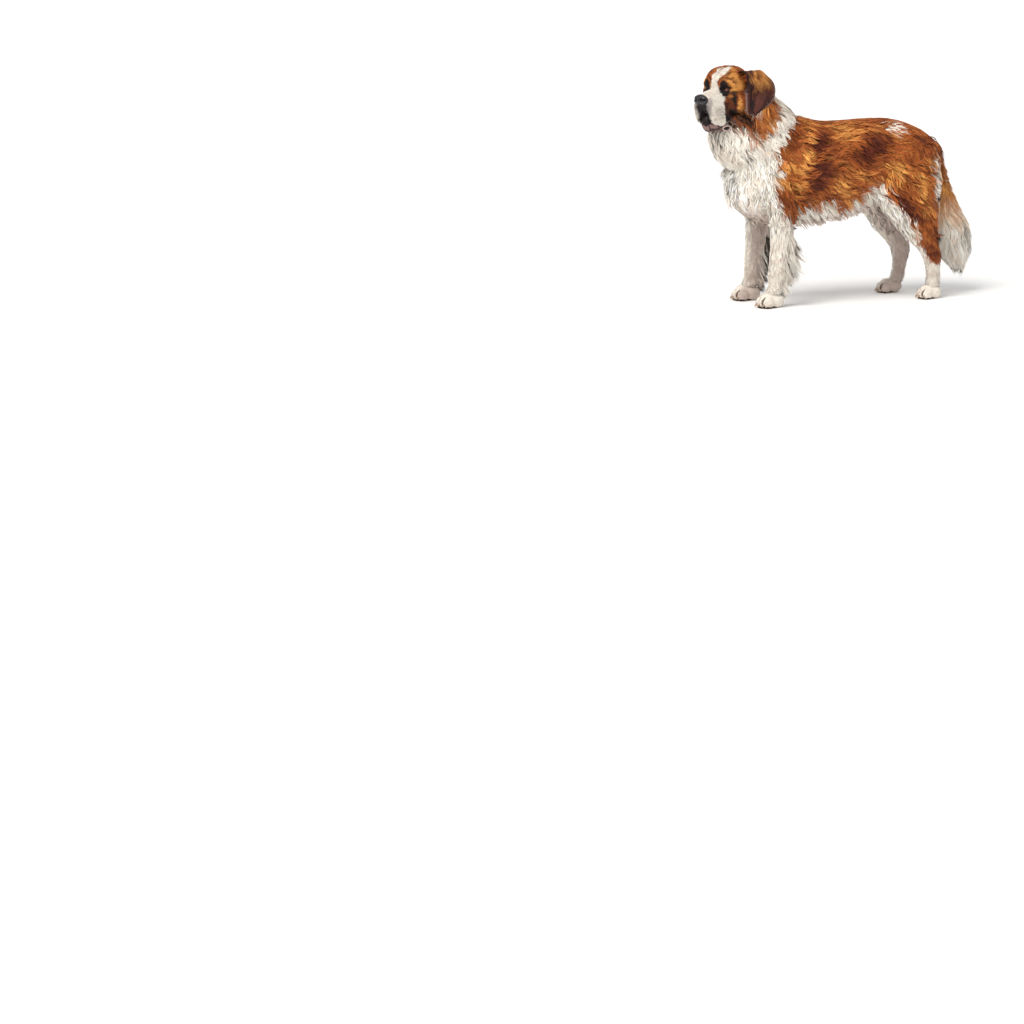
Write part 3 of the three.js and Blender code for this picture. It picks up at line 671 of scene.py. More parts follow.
def tail_tone(p):
    """Rust at the root, golden tan half way and a cream plume with tan strands in it."""
    z = p[..., 2] + 0.03 * ripple(p, 0.05, 33)
    strands = mixed(GOLD, RUST, 0.5 + 0.5 * ripple(p, 0.06, 32))
    tone = mixed(CREAM, SHADE, eased(0.0, 1.2, ripple(p, 0.04, 31)))
    tone = mixed(tone, mixed(CREAM, GOLD, np.full(z.shape, 0.55)), eased(0.25, 0.34, z))
    tone = mixed(tone, strands, eased(0.31, 0.42, z))
    return mixed(tone, mixed(RUST, MAHOGANY, 0.5 + 0.5 * ripple(p, 0.05, 34)), eased(0.46, 0.58, z))


def face_tone(h):
    """The coat's colour on the head, at points in the head's own frame."""
    x, y, z = h[..., 0], np.abs(h[..., 1] - 0.004), h[..., 2]
    rough = 0.0025 * ripple(h, 0.02, 41)
    warm = 0.5 + 0.4 * ripple(h, 0.05, 42)
    colour = mixed(RUST, GOLD, eased(0.3, 1.1, warm))
    colour = mixed(colour, MAHOGANY, 0.7 * eased(0.2, 0.9, ripple(h, 0.04, 43)))
    mirrored = np.stack([x, y, z], -1) + rough[..., None]

    def dab(tone, centre, reach, strength=1.0):
        nonlocal colour
        inside = in_patch(mirrored, np.array(centre) * MM, np.array(reach) * MM)
        colour = mixed(colour, tone, strength * inside)

    def along(table, spot):
        return np.interp(spot, *np.array(table).T * MM)

    # brow, temple and crown
    dab(GOLD, [-24, 58, 46], [26, 18, 22], 0.9)
    dab(GOLD, [-44, 72, 14], [16, 18, 26], 0.9)
    dab(MAHOGANY, [-10, 40, 60], [20, 12, 12], 0.7)
    dab(MAHOGANY, [-78, 60, 50], [16, 30, 40], 0.7)
    round_eye = np.hypot((y - 0.044) / 0.028, (z - 0.002) / 0.040)
    dark_arc = (1 - eased(0.04, 0.16, np.abs(round_eye - 1.10))) * eased(0.006, 0.020, z)
    colour = mixed(colour, MAHOGANY, 0.85 * dark_arc * (1 - eased(0.060, 0.074, y)) * (x > -0.04))
    gold_arc = (1 - eased(0.05, 0.14, np.abs(round_eye - 0.92))) * eased(0.048, 0.056, y)
    colour = mixed(colour, GOLD, gold_arc * eased(-0.02, -0.008, z) * (x > -0.04))
    # the mask from the eye down over the cheek, with gold left in it
    back = along([[-150, -66], [-100, -60], [-88, -38], [-60, -26], [-35, -22], [-15, -20]], z)
    mask = eased(-0.008, 0.008, x - back + rough) * eased(0.0, 0.010, -0.014 - z)
    mask_tone = mixed(BLACK_BROWN, MAHOGANY, eased(-0.4, 0.5, ripple(h, 0.03, 44)))
    colour = mixed(colour, mask_tone, mask)
    dab(RUST, [2, 68, -20], [8, 10, 5], 0.9)
    dab(RUST, [14, 56, -40], [6, 10, 12], 0.7)
    dab(mixed(MAHOGANY, RUST, np.full(1, 0.7)), [-6, 58, -62], [16, 16, 34], 0.5)
    dab(mixed(RUST, GOLD, np.full(1, 0.5)), [-3, 58, -28], [15, 14, 9], 0.7)
    dab(BLACK_BROWN, [-14, 62, -98], [26, 26, 22], 0.75)
    dab(GOLD, [-37, 82, -58], [9, 20, 32], 1.0)
    dab(RUST, [-22, 70, -122], [12, 14, 14], 0.85)
    dab(RUST, [-84, 28, -130], [14, 20, 12], 0.9)
    # the black round the eye
    inner = along([[-28, 44], [-8, 22], [3, 25], [24, 29], [38, 38]], z)
    outer = along([[-28, 58], [-20, 62], [5, 66], [30, 52], [38, 41]], z)
    patch = eased(-0.002, 0.002, y - inner + rough) * eased(-0.003, 0.003, outer - y + rough)
    patch = patch * eased(-0.003, 0.003, z + 0.027) * eased(-0.002, 0.002, 0.037 - z) * (x > -0.03)
    colour = mixed(colour, BLACK_BROWN, patch)
    dab(BLACK_BROWN, [-14, 70, -14], [22, 18, 8], 0.9)
    # the white muzzle and blaze
    below = [[-40, 95], [-30, 50], [-23, 45], [-15, 35], [-8, 22]]
    blaze = [[3, 19], [24, 16], [43, 21], [64, 25], [78, 25], [90, 18]]
    half = along(below + blaze, z)
    half = half * np.where(z > 0, np.interp(x, [-0.070, -0.055, -0.030, -0.010], [0.0, 0.4, 0.85, 1.0]), 1)
    half = np.where(z > 0, half + 0.35 * (h[..., 1] - 0.004) * eased(0.03, 0.07, z), half)
    flew = [[-150, -24], [-139, -5], [-122, 14], [-85, 25], [-57, 27], [-40, 24], [-28, 18]]
    edge = along(flew + [[-24, -100]], z)
    white = eased(-0.002, 0.002, half - y + rough) * eased(-0.003, 0.003, x - edge + rough)
    white = white * eased(-0.085, -0.070, x)
    whisker_bed = in_patch(mirrored, [0.050, 0.052, -0.100], [0.034, 0.030, 0.032])
    rows = np.sin((z + 0.35 * x) * 2 * np.pi / 0.013) * whisker_bed
    tone = mixed(CREAM, SHADE, 0.35 * eased(0.0, 1.0, ripple(h, 0.03, 45)) + 0.75 * eased(0.2, 0.9, rows))
    colour = mixed(colour, tone, white)
    # dark grey under and beside the nose, darkest down the middle of the upper lip's front
    dab(linear(130, 118, 122), [92, 30, -50], [18, 16, 30], 0.55)
    dab(linear(110, 100, 104), [94, 6, -88], [34, 42, 50], 0.55)
    dab(linear(34, 29, 32), [98, 3, -84], [34, 25, 46], 0.94)
    split = np.interp(z, [-0.125, -0.075], [0.037, 0.024]) - y
    parting = eased(-0.004, 0.004, split) * eased(0.050, 0.064, x) * eased(0.004, 0.016, -0.052 - z)
    colour = mixed(colour, linear(40, 33, 35), parting)
    dab(linear(150, 122, 116), [84, 14, -122], [24, 9, 11], 0.8)
    return colour


def coat_tone(points):
    """The coat's colour anywhere: the head's own markings fade into the body's behind the skull."""
    h = to_head(points)
    on_head = eased(-0.015, 0.015, 0.014 - blended(HEAD_FORMS)(h)) * eased(-0.15, -0.11, h[..., 0])
    mirrored = np.stack([h[..., 0], np.abs(h[..., 1]), h[..., 2]], -1)
    mirrored = mirrored + 0.006 * ripple(h, 0.03, 46)[..., None]
    # Under the cheek the neck is painted near black: a painted shadow cast by the head and flews.
    cheek_shadow = in_patch(mirrored, [-0.075, 0.075, -0.142], [0.065, 0.060, 0.042])
    cheek_shadow_tone = mixed(BLACK_BROWN, RUST, eased(-0.3, 0.5, ripple(h, 0.03, 47)))
    body = mixed(body_tone(points - SHIFT), cheek_shadow_tone, cheek_shadow)
    return mixed(body, face_tone(h), on_head)


def set_colours(mesh, colours):
    """Colours for each point of a mesh, in the attribute that the coat's materials read."""
    layer = mesh.color_attributes.new("markings", "FLOAT_COLOR", "POINT")
    rgba = np.ones((len(mesh.vertices), 4), np.float32)
    rgba[:, :3] = colours
    layer.data.foreach_set("color", rgba.ravel())


def between_toes(points):
    """One in the narrow clefts between the toes, where shade is painted, nought elsewhere."""
    deep = np.zeros(len(points))
    toe_width = PAW_WIDTH * 0.22
    for middle, axes in paw_frames():
        own = (points - middle) @ np.linalg.inv(axes)
        cleft = np.abs(own[:, 0] / toe_width - np.round(own[:, 0] / toe_width)) * toe_width
        on_paw = (np.abs(own[:, 0]) < 1.5 * toe_width) * (own[:, 1] > -0.09)
        ahead = eased(0.010, 0.020, -own[:, 1]) * on_paw * (1 - eased(0.040, 0.052, own[:, 2]))
        deep = np.maximum(deep, (1 - eased(0.0014, 0.0042, cleft)) * ahead)
    return deep


# The clefts between the toes are painted dark brown, a painted shade in the narrow grooves.
CLEFT_SHADE = linear(96, 72, 62)
skin_mesh = mesh_of("skin", skin_points, skin_faces)
# The skin is painted darker than the coat as painted shade among the tufts, less so above 0.72 m.
skin_tones = coat_tone(skin_points) * np.where(skin_points[:, 2:] > 0.72, 0.97, 0.86)
set_colours(skin_mesh, mixed(skin_tones, CLEFT_SHADE, between_toes(skin_points)))
skin = add_object("skin", skin_mesh)


def coat_material(name, roughness, fleck, bump):
    """Coloured by the markings, with fine flecks of light and dark and a fine bump along them."""
    material, shader, tree = new_material(name, RUST, roughness)
    marks = tree.nodes.new("ShaderNodeAttribute")
    marks.attribute_name = "markings"
    place = tree.nodes.new("ShaderNodeTexCoord")
    noise = tree.nodes.new("ShaderNodeTexNoise")
    noise.inputs["Scale"].default_value = fleck
    noise.inputs["Detail"].default_value = 3
    tree.links.new(place.outputs["Object"], noise.inputs["Vector"])
    shade = tree.nodes.new("ShaderNodeMapRange")
    shade.inputs["To Min"].default_value = 0.7
    shade.inputs["To Max"].default_value = 1.3
    tree.links.new(noise.outputs["Fac"], shade.inputs["Value"])
    tint = tree.nodes.new("ShaderNodeVectorMath")
    tint.operation = "SCALE"
    tree.links.new(marks.outputs["Color"], tint.inputs[0])
    tree.links.new(shade.outputs["Result"], tint.inputs["Scale"])
    tree.links.new(tint.outputs["Vector"], shader.inputs["Base Color"])
    raised = tree.nodes.new("ShaderNodeBump")
    raised.inputs["Strength"].default_value = bump
    raised.inputs["Distance"].default_value = 0.002
    tree.links.new(noise.outputs["Fac"], raised.inputs["Height"])
    tree.links.new(raised.outputs["Normal"], shader.inputs["Normal"])
    shader.inputs["Specular IOR Level"].default_value = 0.25
    return material


skin_mesh.materials.append(coat_material("skin_under_coat", 0.8, 260, 0.6))
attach(skin, "root")
LEGS = ["shoulder", "forearm", "forepaw", "thigh", "shank", "hindpaw"]
leg_nodes = [leg + side for leg in LEGS for side in ("_left", "_right")]
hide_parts("torso", "neck", "tail", "head", *leg_nodes)

# The long coat. Every tuft is a thin three-sided blade that tapers to a point. It is rooted in the skin,
# follows the form along the lie of the hair, and leans towards its neighbours so that they gather.
skin_tree = BVHTree.FromPolygons(skin_points.tolist(), skin_faces.tolist())
draw = np.random.default_rng(1862)
LONG_BLADE = [(0.0, 0.75), (0.28, 1.0), (0.55, 0.9), (0.8, 0.55)]
SHORT_BLADE = [(0.0, 0.8), (0.45, 1.0), (0.78, 0.6)]
FACE_BLADE = [(0.0, 1.0), (0.55, 0.8)]


def tuft_surface(name, blade, spines, outs, widths, colours, roots_uv, material, soft=1.0):
    """One coat piece from the spines of its tufts.

    Each tuft has a ring of three points at every place of its blade and one point at its tip. A ring's
    points lie round the spine at its width to the left and right and a part of that outwards. The
    shading normals lean by a soft share towards the way out of the coat, so that tufts blend. On the
    bake map each tuft fills its own patch, three thousandths across, at its root's place.
    """
    count, rings = len(spines), len(blade)
    along = np.diff(spines, axis=1)
    across = np.cross(outs[:, :rings], along)
    across /= np.maximum(np.linalg.norm(across, axis=-1, keepdims=True), 1e-9)
    rise = np.cross(along, across)
    rise /= np.maximum(np.linalg.norm(rise, axis=-1, keepdims=True), 1e-9)
    share = np.array([w for _, w in blade])[None, :, None]
    half = widths[:, None, None] * share / 2
    base = spines[:, :rings]
    ring = np.stack([base - across * half, base + across * half, base + rise * half * 0.55], 2)
    points = np.concatenate([ring.reshape(count, rings * 3, 3), spines[:, -1:]], 1)
    faces = [(0, 1, 2)]
    for r in range(rings - 1):
        for k in range(3):
            a, b = r * 3 + k, r * 3 + (k + 1) % 3
            faces += [(a, a + 3, b), (b, a + 3, b + 3)]
    last = (rings - 1) * 3
    faces += [(last + k, rings * 3, last + (k + 1) % 3) for k in range(3)]
    each = rings * 3 + 1
    all_faces = (np.array(faces)[:, ::-1][None] + (np.arange(count) * each)[:, None, None]).reshape(-1, 3)
    mesh = mesh_of(name, points.reshape(-1, 3), all_faces)
    facing = ring - base[:, :, None]
    facing /= np.maximum(np.linalg.norm(facing, axis=-1, keepdims=True), 1e-9)
    facing = facing + soft * outs[:, :rings, None]
    facing = np.concatenate([facing.reshape(count, rings * 3, 3), outs[:, -1:]], 1).reshape(-1, 3)
    facing /= np.maximum(np.linalg.norm(facing, axis=-1, keepdims=True), 1e-9)
    mesh.normals_split_custom_set_from_vertices(facing.tolist())
    tones = np.concatenate([np.repeat(colours[:, :rings], 3, 1), colours[:, rings:]], 1)
    set_colours(mesh, tones.reshape(-1, 3))
    patch = np.zeros((each, 2))
    patch[:, 0] = np.append(np.tile([0, 1, 0.5], rings), 0.5)
    patch[:, 1] = np.append(np.repeat(np.arange(rings) / rings, 3), 1)
    bake = mesh.uv_layers.new(name="OFBake")
    spread = (roots_uv[:, None, :] + 0.003 * patch[None]).reshape(-1, 2)
    bake.data.foreach_set("uv", spread[all_faces.ravel()].astype(np.float32).ravel())
    made = add_object(name, mesh)
    mesh.materials.append(material)
    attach(made, "root")
    return made


coat_fibre = coat_material("coat_fibre", 0.55, 900, 0.2)


def surface_frame(surface, u, v, step=0.004):
    """The two slopes of a surface and the way out of it, by small steps in u and v."""
    over_u = (surface(u + step, v) - surface(u - step, v)) / (2 * step)
    over_v = (surface(u, v + step) - surface(u, v - step)) / (2 * step)
    out = np.cross(over_u, over_v)
    return over_u, over_v, out / np.maximum(np.linalg.norm(out, axis=-1, keepdims=True), 1e-9)


def scattered(surface, count, low, high, thick):
    """Places (u, v) spread evenly over a surface, more where thick(points) is greater.

    The surface is cut into small cells; an even walk through the running total of their weighted areas
    picks the cells, and each pick is moved at random inside its cell.
    """
    rows, columns = 220, 220
    u = low[0] + (high[0] - low[0]) * (np.arange(rows) + 0.5)[:, None] / rows
    v = low[1] + (high[1] - low[1]) * (np.arange(columns) + 0.5)[None, :] / columns
    u, v = (a.ravel() for a in np.broadcast_arrays(u, v))
    over_u, over_v, _ = surface_frame(surface, u, v)
    weight = np.linalg.norm(np.cross(over_u, over_v), axis=-1)
    if thick is not None:
        weight = weight * thick(surface(u, v))
    total = np.cumsum(weight)
    marks = (np.arange(count) + draw.uniform(0, 1, count)) * total[-1] / count
    picked = np.searchsorted(total, marks).clip(0, len(u) - 1)
    u = u[picked] + draw.uniform(-0.5, 0.5, count) * (high[0] - low[0]) / rows
    v = v[picked] + draw.uniform(-0.5, 0.5, count) * (high[1] - low[1]) / columns
    return u, v


def clumps(roots, size):
    """For each tuft, which tuft leads the clump that it stands in."""
    leaders = draw.choice(len(roots), max(len(roots) // size, 1), replace=False)
    tree = KDTree(len(leaders))
    for i, leader in enumerate(leaders):
        tree.insert(roots[leader], i)
    tree.balance()
    return leaders[[tree.find(root)[1] for root in roots.tolist()]]


def combed(surface, out_sign, u, v, own, blade, style, lie):
    """Spines of tufts over a surface, walked in a few steps along the lie of the hair.

    Each step goes along lie(point), laid flat on the surface and swung by a wave that a clump shares.
    The height over the outline starts below the skin, rises along the first half and lifts at the tip.
    """
    places = [t for t, _ in blade] + [1.0]
    count = len(u)

    def shared(low, high, alone):
        return (draw.uniform(low, high, count)[own]) * draw.uniform(1 - alone, 1 + alone, count)

    length = style["length"](surface(u, v)) * shared(0.85, 1.15, 0.25)
    lift = style["lift"] * shared(0.5, 1.4, 0.6)
    spot = surface(u, v)
    turn = 0.6 * ripple(spot, 0.12, 81) + 0.6 * draw.uniform(-1, 1, count)[own]
    turn = style["sway"] * turn + 0.12 * draw.uniform(-1, 1, count)
    phase = 2 * np.pi * ripple(spot, 0.25, 82) + 0.9 * draw.uniform(-1, 1, count)[own]
    spines, outs = [], []
    walked_u, walked_v = u.copy(), v.copy()
    for k, t in enumerate(places):
        over_u, over_v, out = surface_frame(surface, walked_u, walked_v)
        out = out * out_sign
        height = lift * length * t * t - style["under"] * (1 - eased(0, 0.6, t))
        held = spot + out * height[:, None]
        held[..., 2] -= style["droop"] * length * t * t
        spines.append(held)
        outs.append(out)
        if k + 1 == len(places):
            break
        way = lie(spot)
        way = way - out * np.sum(way * out, -1, keepdims=True)
        way /= np.maximum(np.linalg.norm(way, axis=-1, keepdims=True), 1e-9)
        bend = turn + style["wave"] * np.sin(phase + 6.0 * t)
        way = way + np.cross(out, way) * bend[:, None]
        way /= np.linalg.norm(way, axis=-1, keepdims=True)
        stride = length * (places[k + 1] - t)
        uu, vv, uv = (np.sum(a * b, -1) for a, b in [(over_u, over_u), (over_v, over_v), (over_u, over_v)])
        du, dv = np.sum(way * over_u, -1), np.sum(way * over_v, -1)
        spread = np.maximum(uu * vv - uv * uv, 1e-12)
        step_u = (du * vv - dv * uv) / spread * stride
        step_v = (dv * uu - du * uv) / spread * stride
        ahead_u, ahead_v = walked_u + step_u, walked_v + step_v
        on_it = (ahead_u > -0.02) & (ahead_u < 1.02) & (np.abs(step_v) < 0.25)
        ahead = surface(np.clip(ahead_u, -0.05, 1.05), ahead_v)
        spot = np.where(on_it[:, None], ahead, spot + way * stride[:, None])
        walked_u = np.where(on_it, ahead_u, walked_u)
        walked_v = np.where(on_it, ahead_v, walked_v)
    return np.stack(spines, 1), np.stack(outs, 1)


def rooted(roots, tree, deepest=0.022, reach=0.03):
    """Which roots are near the skin, how far each moves to start under it, and the way out there."""
    keep = np.zeros(len(roots), bool)
    move = np.zeros((len(roots), 3))
    outs = np.zeros((len(roots), 3))
    for i, root in enumerate(roots.tolist()):
        spot, normal, _, distance = tree.find_nearest(root)
        if spot is None or distance > reach:
            continue
        height = (Vector(root) - spot).dot(normal)
        if height > -deepest:
            keep[i] = True
            move[i] = np.array(normal) * (-0.002 - height)
            outs[i] = normal
    return keep, move, outs


def charted(u, v, low, high, chart):
    """A root's place on the bake map: its own (u, v) inside the chart's corner and size."""
    place = np.stack([(u - low[0]) / (high[0] - low[0]), (v - low[1]) / (high[1] - low[1])], -1)
    return np.array(chart[:2]) + np.clip(place, 0, 1) * (np.array(chart[2:]) - 0.004)


def shaded(tone, own, blade, contrast):
    """Colours along each tuft: its clump's and its own chance lightness, with painted shade at the root
    and a painted highlight at the tip.
    """
    count = len(own)
    light = 1 + 0.6 * contrast * draw.uniform(-1, 1, count)[own] + contrast * draw.uniform(-1, 1, count)
    along = np.interp([t for t, _ in blade] + [1.0], [0, 0.4, 1], [1 - contrast, 1.0, 1 + 0.5 * contrast])
    return np.clip(tone[:, None] * light[:, None, None] * along[None, :, None], 0, 1)


def grow_coat(
    name,
    surface,
    chart,
    count,
    style,
    lie,
    slot,
    low,
    high,
    sign,
    blade=None,
    thick=None,
    bare=None,
    tone=None,
    tree=skin_tree,
):
    """Scatters, clumps, combs, roots, gathers, colours and builds one coat piece over a surface.

    No tuft starts where bare(points) holds. tone(points, u, v) gives the colours, and without a tree the
    surface itself is the skin.
    """
    blade = blade or LONG_BLADE
    u, v = scattered(surface, count, low, high, thick)
    if bare is not None:
        open_skin = ~bare(surface(u, v))
        u, v = u[open_skin], v[open_skin]
    own = clumps(surface(u, v), style["clump"])
    spines, outs = combed(surface, sign, u, v, own, blade, style, lie)
    t = np.array([t for t, _ in blade] + [1.0])[None, :, None]
    spines = spines + (spines[own] - spines) * t**1.3 * style["gather"]
    keep = np.ones(len(u), bool)
    if tree is not None:
        keep, move, skin_outs = rooted(spines[:, 0], tree)
        spines = spines + move[:, None] * (1 - style.get("free", 1.0) * t) ** 0.5
        if "aside" in style:
            skin_outs[:, 0] += style["aside"](spines[:, 0, 0])
        skin_outs /= np.maximum(np.linalg.norm(skin_outs, axis=-1, keepdims=True), 1e-9)
        outs = np.repeat(skin_outs[:, None], outs.shape[1], 1)
    blur = style.get("blur", 0.009)
    by_clump = draw.normal(size=(len(u), 3))[own]
    by_tuft = draw.normal(size=(len(u), 3))
    shown = (spines[:, -2] + spines[:, -3]) / 2 + blur * (by_clump + 0.4 * by_tuft)
    tones = coat_tone(shown) if tone is None else tone(shown, u, v)
    colours = shaded(tones, own, blade, style.get("contrast", 0.22))
    widths = style["width"] * draw.uniform(0.7, 1.3, len(spines))
    place = charted(u, v, low, high, chart)
    return tuft_surface(
        name,
        blade,
        spines[keep],
        outs[keep],
        widths[keep],
        colours[keep],
        place[keep],
        coat_fibre,
        style.get("soft", 1.0),
    )


def out_sign(surface, grown):
    """Whether a surface's two slopes, crossed, point out of it (1) or into it (-1)."""
    u, v = np.full(8, 0.5), 0.05 + np.arange(8) / 8
    _, _, out = surface_frame(surface, u, v)
    return float(np.sign(np.sum(out * (grown(u, v) - surface(u, v)))))


def coat_on(name, tube_name, chart, count, style, lie, slot, low=(-0.05, 0.0), high=(1.05, 1.0), **more):
    """A coat piece over one of the body's tubes."""
    tube = TUBES[tube_name]
    depth = {"under": tube["depth"] + 0.002}

    def surface(u, v):
        return on_tube(tube, u, v)

    sign = out_sign(surface, lambda u, v: on_tube(tube, u, v, 0.01))
    return grow_coat(name, surface, chart, count, {**depth, **style}, lie, slot, low, high, sign, **more)


def direction(backward, downward, outward=0.0):
    """A lie of the hair that is the same everywhere."""

    def lie(p):
        way = np.zeros(p.shape)
        way[..., 0] = outward * np.sign(p[..., 0])
        way[..., 1] = backward
        way[..., 2] = -downward
        return way

    return lie


def trunk_lie(p):
    """Down over the chest, then back along the sides, falling more towards the rump and the belly."""
    y, z = p[..., 1] - SHIFT[1], p[..., 2]
    way = np.zeros(p.shape)
    back = eased(-0.40, -0.20, y)
    way[..., 1] = back
    way[..., 2] = -(1 - back) - 0.42 - 0.6 * eased(0.22, 0.42, y)
    slow = 0.5 * ripple(p, 0.32, 51)
    way[..., 1] += slow * 0.5
    way[..., 2] -= slow
    return way


def trunk_length(p):
    """Longest on the chest and the belly's edge, shorter along the back."""
    y, z = p[..., 1] - SHIFT[1], p[..., 2]
    base = 0.080 + 0.026 * (1 - eased(-0.38, -0.22, y)) + 0.026 * (1 - eased(0.36, 0.46, z))
    base = base - 0.045 * (1 - eased(-0.44, -0.38, y))
    return base + 0.012 * eased(0.25, 0.36, y) - 0.045 * eased(0.38, 0.46, y)


def bare_fold(p):
    """Where the thin skin of the flank's fold shows."""
    return in_patch(p - SHIFT, FLANK_FOLD["at"], np.array(FLANK_FOLD["size"]) + 0.02) > 0.5


BODY_STYLE = {
    "length": trunk_length,
    "lift": 0.03,
    "droop": 0.03,
    "sway": 0.35,
    "wave": 0.6,
    "clump": 6,
    "gather": 0.6,
    "width": 0.0034,
    "contrast": 0.36,
}
for k, u_low in enumerate([-0.05, 0.34, 0.68]):
    for j, v_low in enumerate([-0.25, 0.25]):
        u_high = [0.34, 0.68, 1.05][k]
        chart = (0.01 + 0.16 * k, 0.01 + 0.21 * j, 0.15, 0.2)
        name = f"{['chest', 'flank', 'rump'][k]}_coat_{['left', 'right'][j]}"
        low, high = (u_low, v_low), (u_high, v_low + 0.5)
        coat_on(
            name,
            "trunk",
            chart,
            4850,
            BODY_STYLE,
            trunk_lie,
            "body_coat",
            low=low,
            high=high,
            bare=bare_fold,
        )


# The ruff. The thickest and longest hair of all falls from the nape and throat over the shoulders.
def even(length):
    """The same length for every tuft."""
    return lambda p: np.full(len(p), length)


def neck_lie(p):
    """Backwards and down from the nape, straight down in front of the throat."""
    y = p[..., 1] - SHIFT[1]
    way = np.zeros(p.shape)
    way[..., 1] = 0.25 + 0.6 * eased(-0.40, -0.22, y)
    way[..., 2] = -1
    way[..., 0] = 0.15 * np.sign(p[..., 0])
    return way


def ruff_length(p):
    """Longest at the front's lower hem, where it hangs over the chest."""
    y, z = p[..., 1] - SHIFT[1], p[..., 2]
    return 0.092 + 0.050 * (1 - eased(-0.43, -0.33, y)) * (1 - eased(0.60, 0.72, z))


RUFF_STYLE = {
    "length": ruff_length,
    "lift": 0.05,
    "droop": 0.02,
    "sway": 0.3,
    "wave": 0.6,
    "clump": 8,
    "gather": 0.6,
    "width": 0.0040,
    "contrast": 0.16,
    "soft": 1.6,
}
for j, v_low in enumerate([-0.25, 0.25]):
    low, high = (-0.02, v_low), (1.0, v_low + 0.5)
    chart = (0.50, 0.01 + 0.21 * j, 0.2, 0.2)
    name = f"ruff_coat_{['left', 'right'][j]}"
    coat_on(name, "neck", chart, 4200, RUFF_STYLE, neck_lie, "ruff_coat", low=low, high=high)

# The tail. Short hair at its root gives way to a heavy plume that hangs past the hocks.
def tail_length(p):
    """Longer towards the plume, and no longer than what is left above the tail's tip."""
    z = p[..., 2]
    return np.clip(0.070 + 0.055 * (1 - eased(0.25, 0.55, z)), 0.012, np.maximum(z - 0.082, 0.012))


TAIL_STYLE = {
    "length": tail_length,
    "lift": 0.12,
    "droop": 0.0,
    "sway": 0.2,
    "wave": 0.3,
    "clump": 9,
    "gather": 0.5,
    "width": 0.0036,
    "contrast": 0.24,
    "soft": 0.9,
}
coat_on(
    "tail_coat",
    "tail",
    (0.72, 0.01, 0.26, 0.41),
    5900,
    TAIL_STYLE,
    direction(0.16, 1.0),
    "tail_coat",
    tone=lambda p, u, v: tail_tone(p - SHIFT),
)

# The legs. Short close hair in front, a fringe behind each forearm and long breeches behind the thighs.
def thigh_lie(p):
    """Down and back over the thigh."""
    way = np.zeros(p.shape)
    way[..., 1] = 0.75
    way[..., 2] = -1 + 0.5 * ripple(p, 0.2, 52)
    return way


def thigh_length(p):
    """Longest in the breeches behind, shorter towards the hock."""
    return 0.055 + 0.035 * eased(0.33, 0.46, p[..., 1]) - 0.02 * (1 - eased(0.2, 0.32, p[..., 2]))


THIGH_STYLE = {
    "length": thigh_length,
    "lift": 0.06,
    "droop": 0.02,
    "sway": 0.35,
    "wave": 0.55,
    "clump": 7,
    "gather": 0.6,
    "width": 0.0034,
    "contrast": 0.34,
}
LEG_STYLE = {
    "length": lambda p: 0.009 + 0.018 * eased(0.07, 0.30, p[..., 2]),
    "lift": 0.0,
    "droop": 0.0,
    "sway": 0.15,
    "wave": 0.15,
    "clump": 8,
    "gather": 0.3,
    "width": 0.0034,
    "contrast": 0.10,
    "blur": 0.004,
    "soft": 3.0,
    "free": 0.3,
}
FRINGE_STYLE = {
    "length": lambda p: 0.040 + 0.055 * eased(0.08, 0.26, p[..., 2]),
    "lift": 0.50,
    "droop": 0.1,
    "sway": 0.25,
    "wave": 0.35,
    "clump": 9,
    "gather": 0.6,
    "width": 0.0040,
    "contrast": 0.20,
    "soft": 0.6,
    "aside": lambda x: 1.5 * np.sign(x) * np.clip((np.abs(x) - 0.112) / 0.010, -1, 1),
}
BELLY_STYLE = {**FRINGE_STYLE, "aside": np.sign, "length": even(0.055), "lift": 0.1, "droop": 0.5}
for j, side in enumerate(["left", "right"]):
    x = 0.01 + 0.49 * j
    coat_on(f"shoulder_coat_{side}", "shoulder_" + side, (x, 0.44, 0.1, 0.16), 1700, THIGH_STYLE,
            direction(0.3, 1.0), "body_coat")
    coat_on(f"thigh_coat_{side}", "thigh_" + side, (x + 0.12, 0.44, 0.2, 0.2), 3400, THIGH_STYLE,
            thigh_lie, "body_coat")
    coat_on(f"forearm_coat_{side}", "forearm_" + side, (x + 0.34, 0.44, 0.06, 0.2), 2300, LEG_STYLE,
            direction(0.12, 1.0), "leg_coat", high=(1.10, 1.0), blade=SHORT_BLADE)
    coat_on(f"shank_coat_{side}", "shank_" + side, (x + 0.41, 0.44, 0.06, 0.2), 1700, LEG_STYLE,
            direction(0.25, 1.0), "leg_coat", high=(1.10, 1.0), blade=SHORT_BLADE)
    coat_on(f"fringe_{side}", "forearm_" + side, (x, 0.62, 0.1, 0.1), 1300, FRINGE_STYLE,
            direction(0.5, 1.0), "leg_coat", low=(0.0, 0.13), high=(0.9, 0.37))
    coat_on(f"belly_fringe_{side}", "trunk", (x + 0.12, 0.66, 0.2, 0.06), 750, BELLY_STYLE,
            direction(0.8, 0.5), "body_coat", low=(0.30, [0.79, 0.57][j]), high=(0.68, [0.93, 0.71][j]))

# The head's coat: short velvet on muzzle and brow that lengthens over the cheeks into the ruff.
def grid_surface(grid):
    """A surface read from a closed grid of points, straight between neighbours."""
    rows, around = grid.shape[:2]

    def surface(u, v):
        a, b = np.clip(u, 0, 1) * (rows - 1), (v % 1) * around
        i, j = np.clip(np.floor(a).astype(int), 0, rows - 2), np.floor(b).astype(int) % around
        s, t = (a - i)[..., None], (b - np.floor(b))[..., None]
        k = (j + 1) % around
        near = (1 - t) * grid[i, j] + t * grid[i, k]
        far = (1 - t) * grid[i + 1, j] + t * grid[i + 1, k]
        return (1 - s) * near + s * far

    return surface


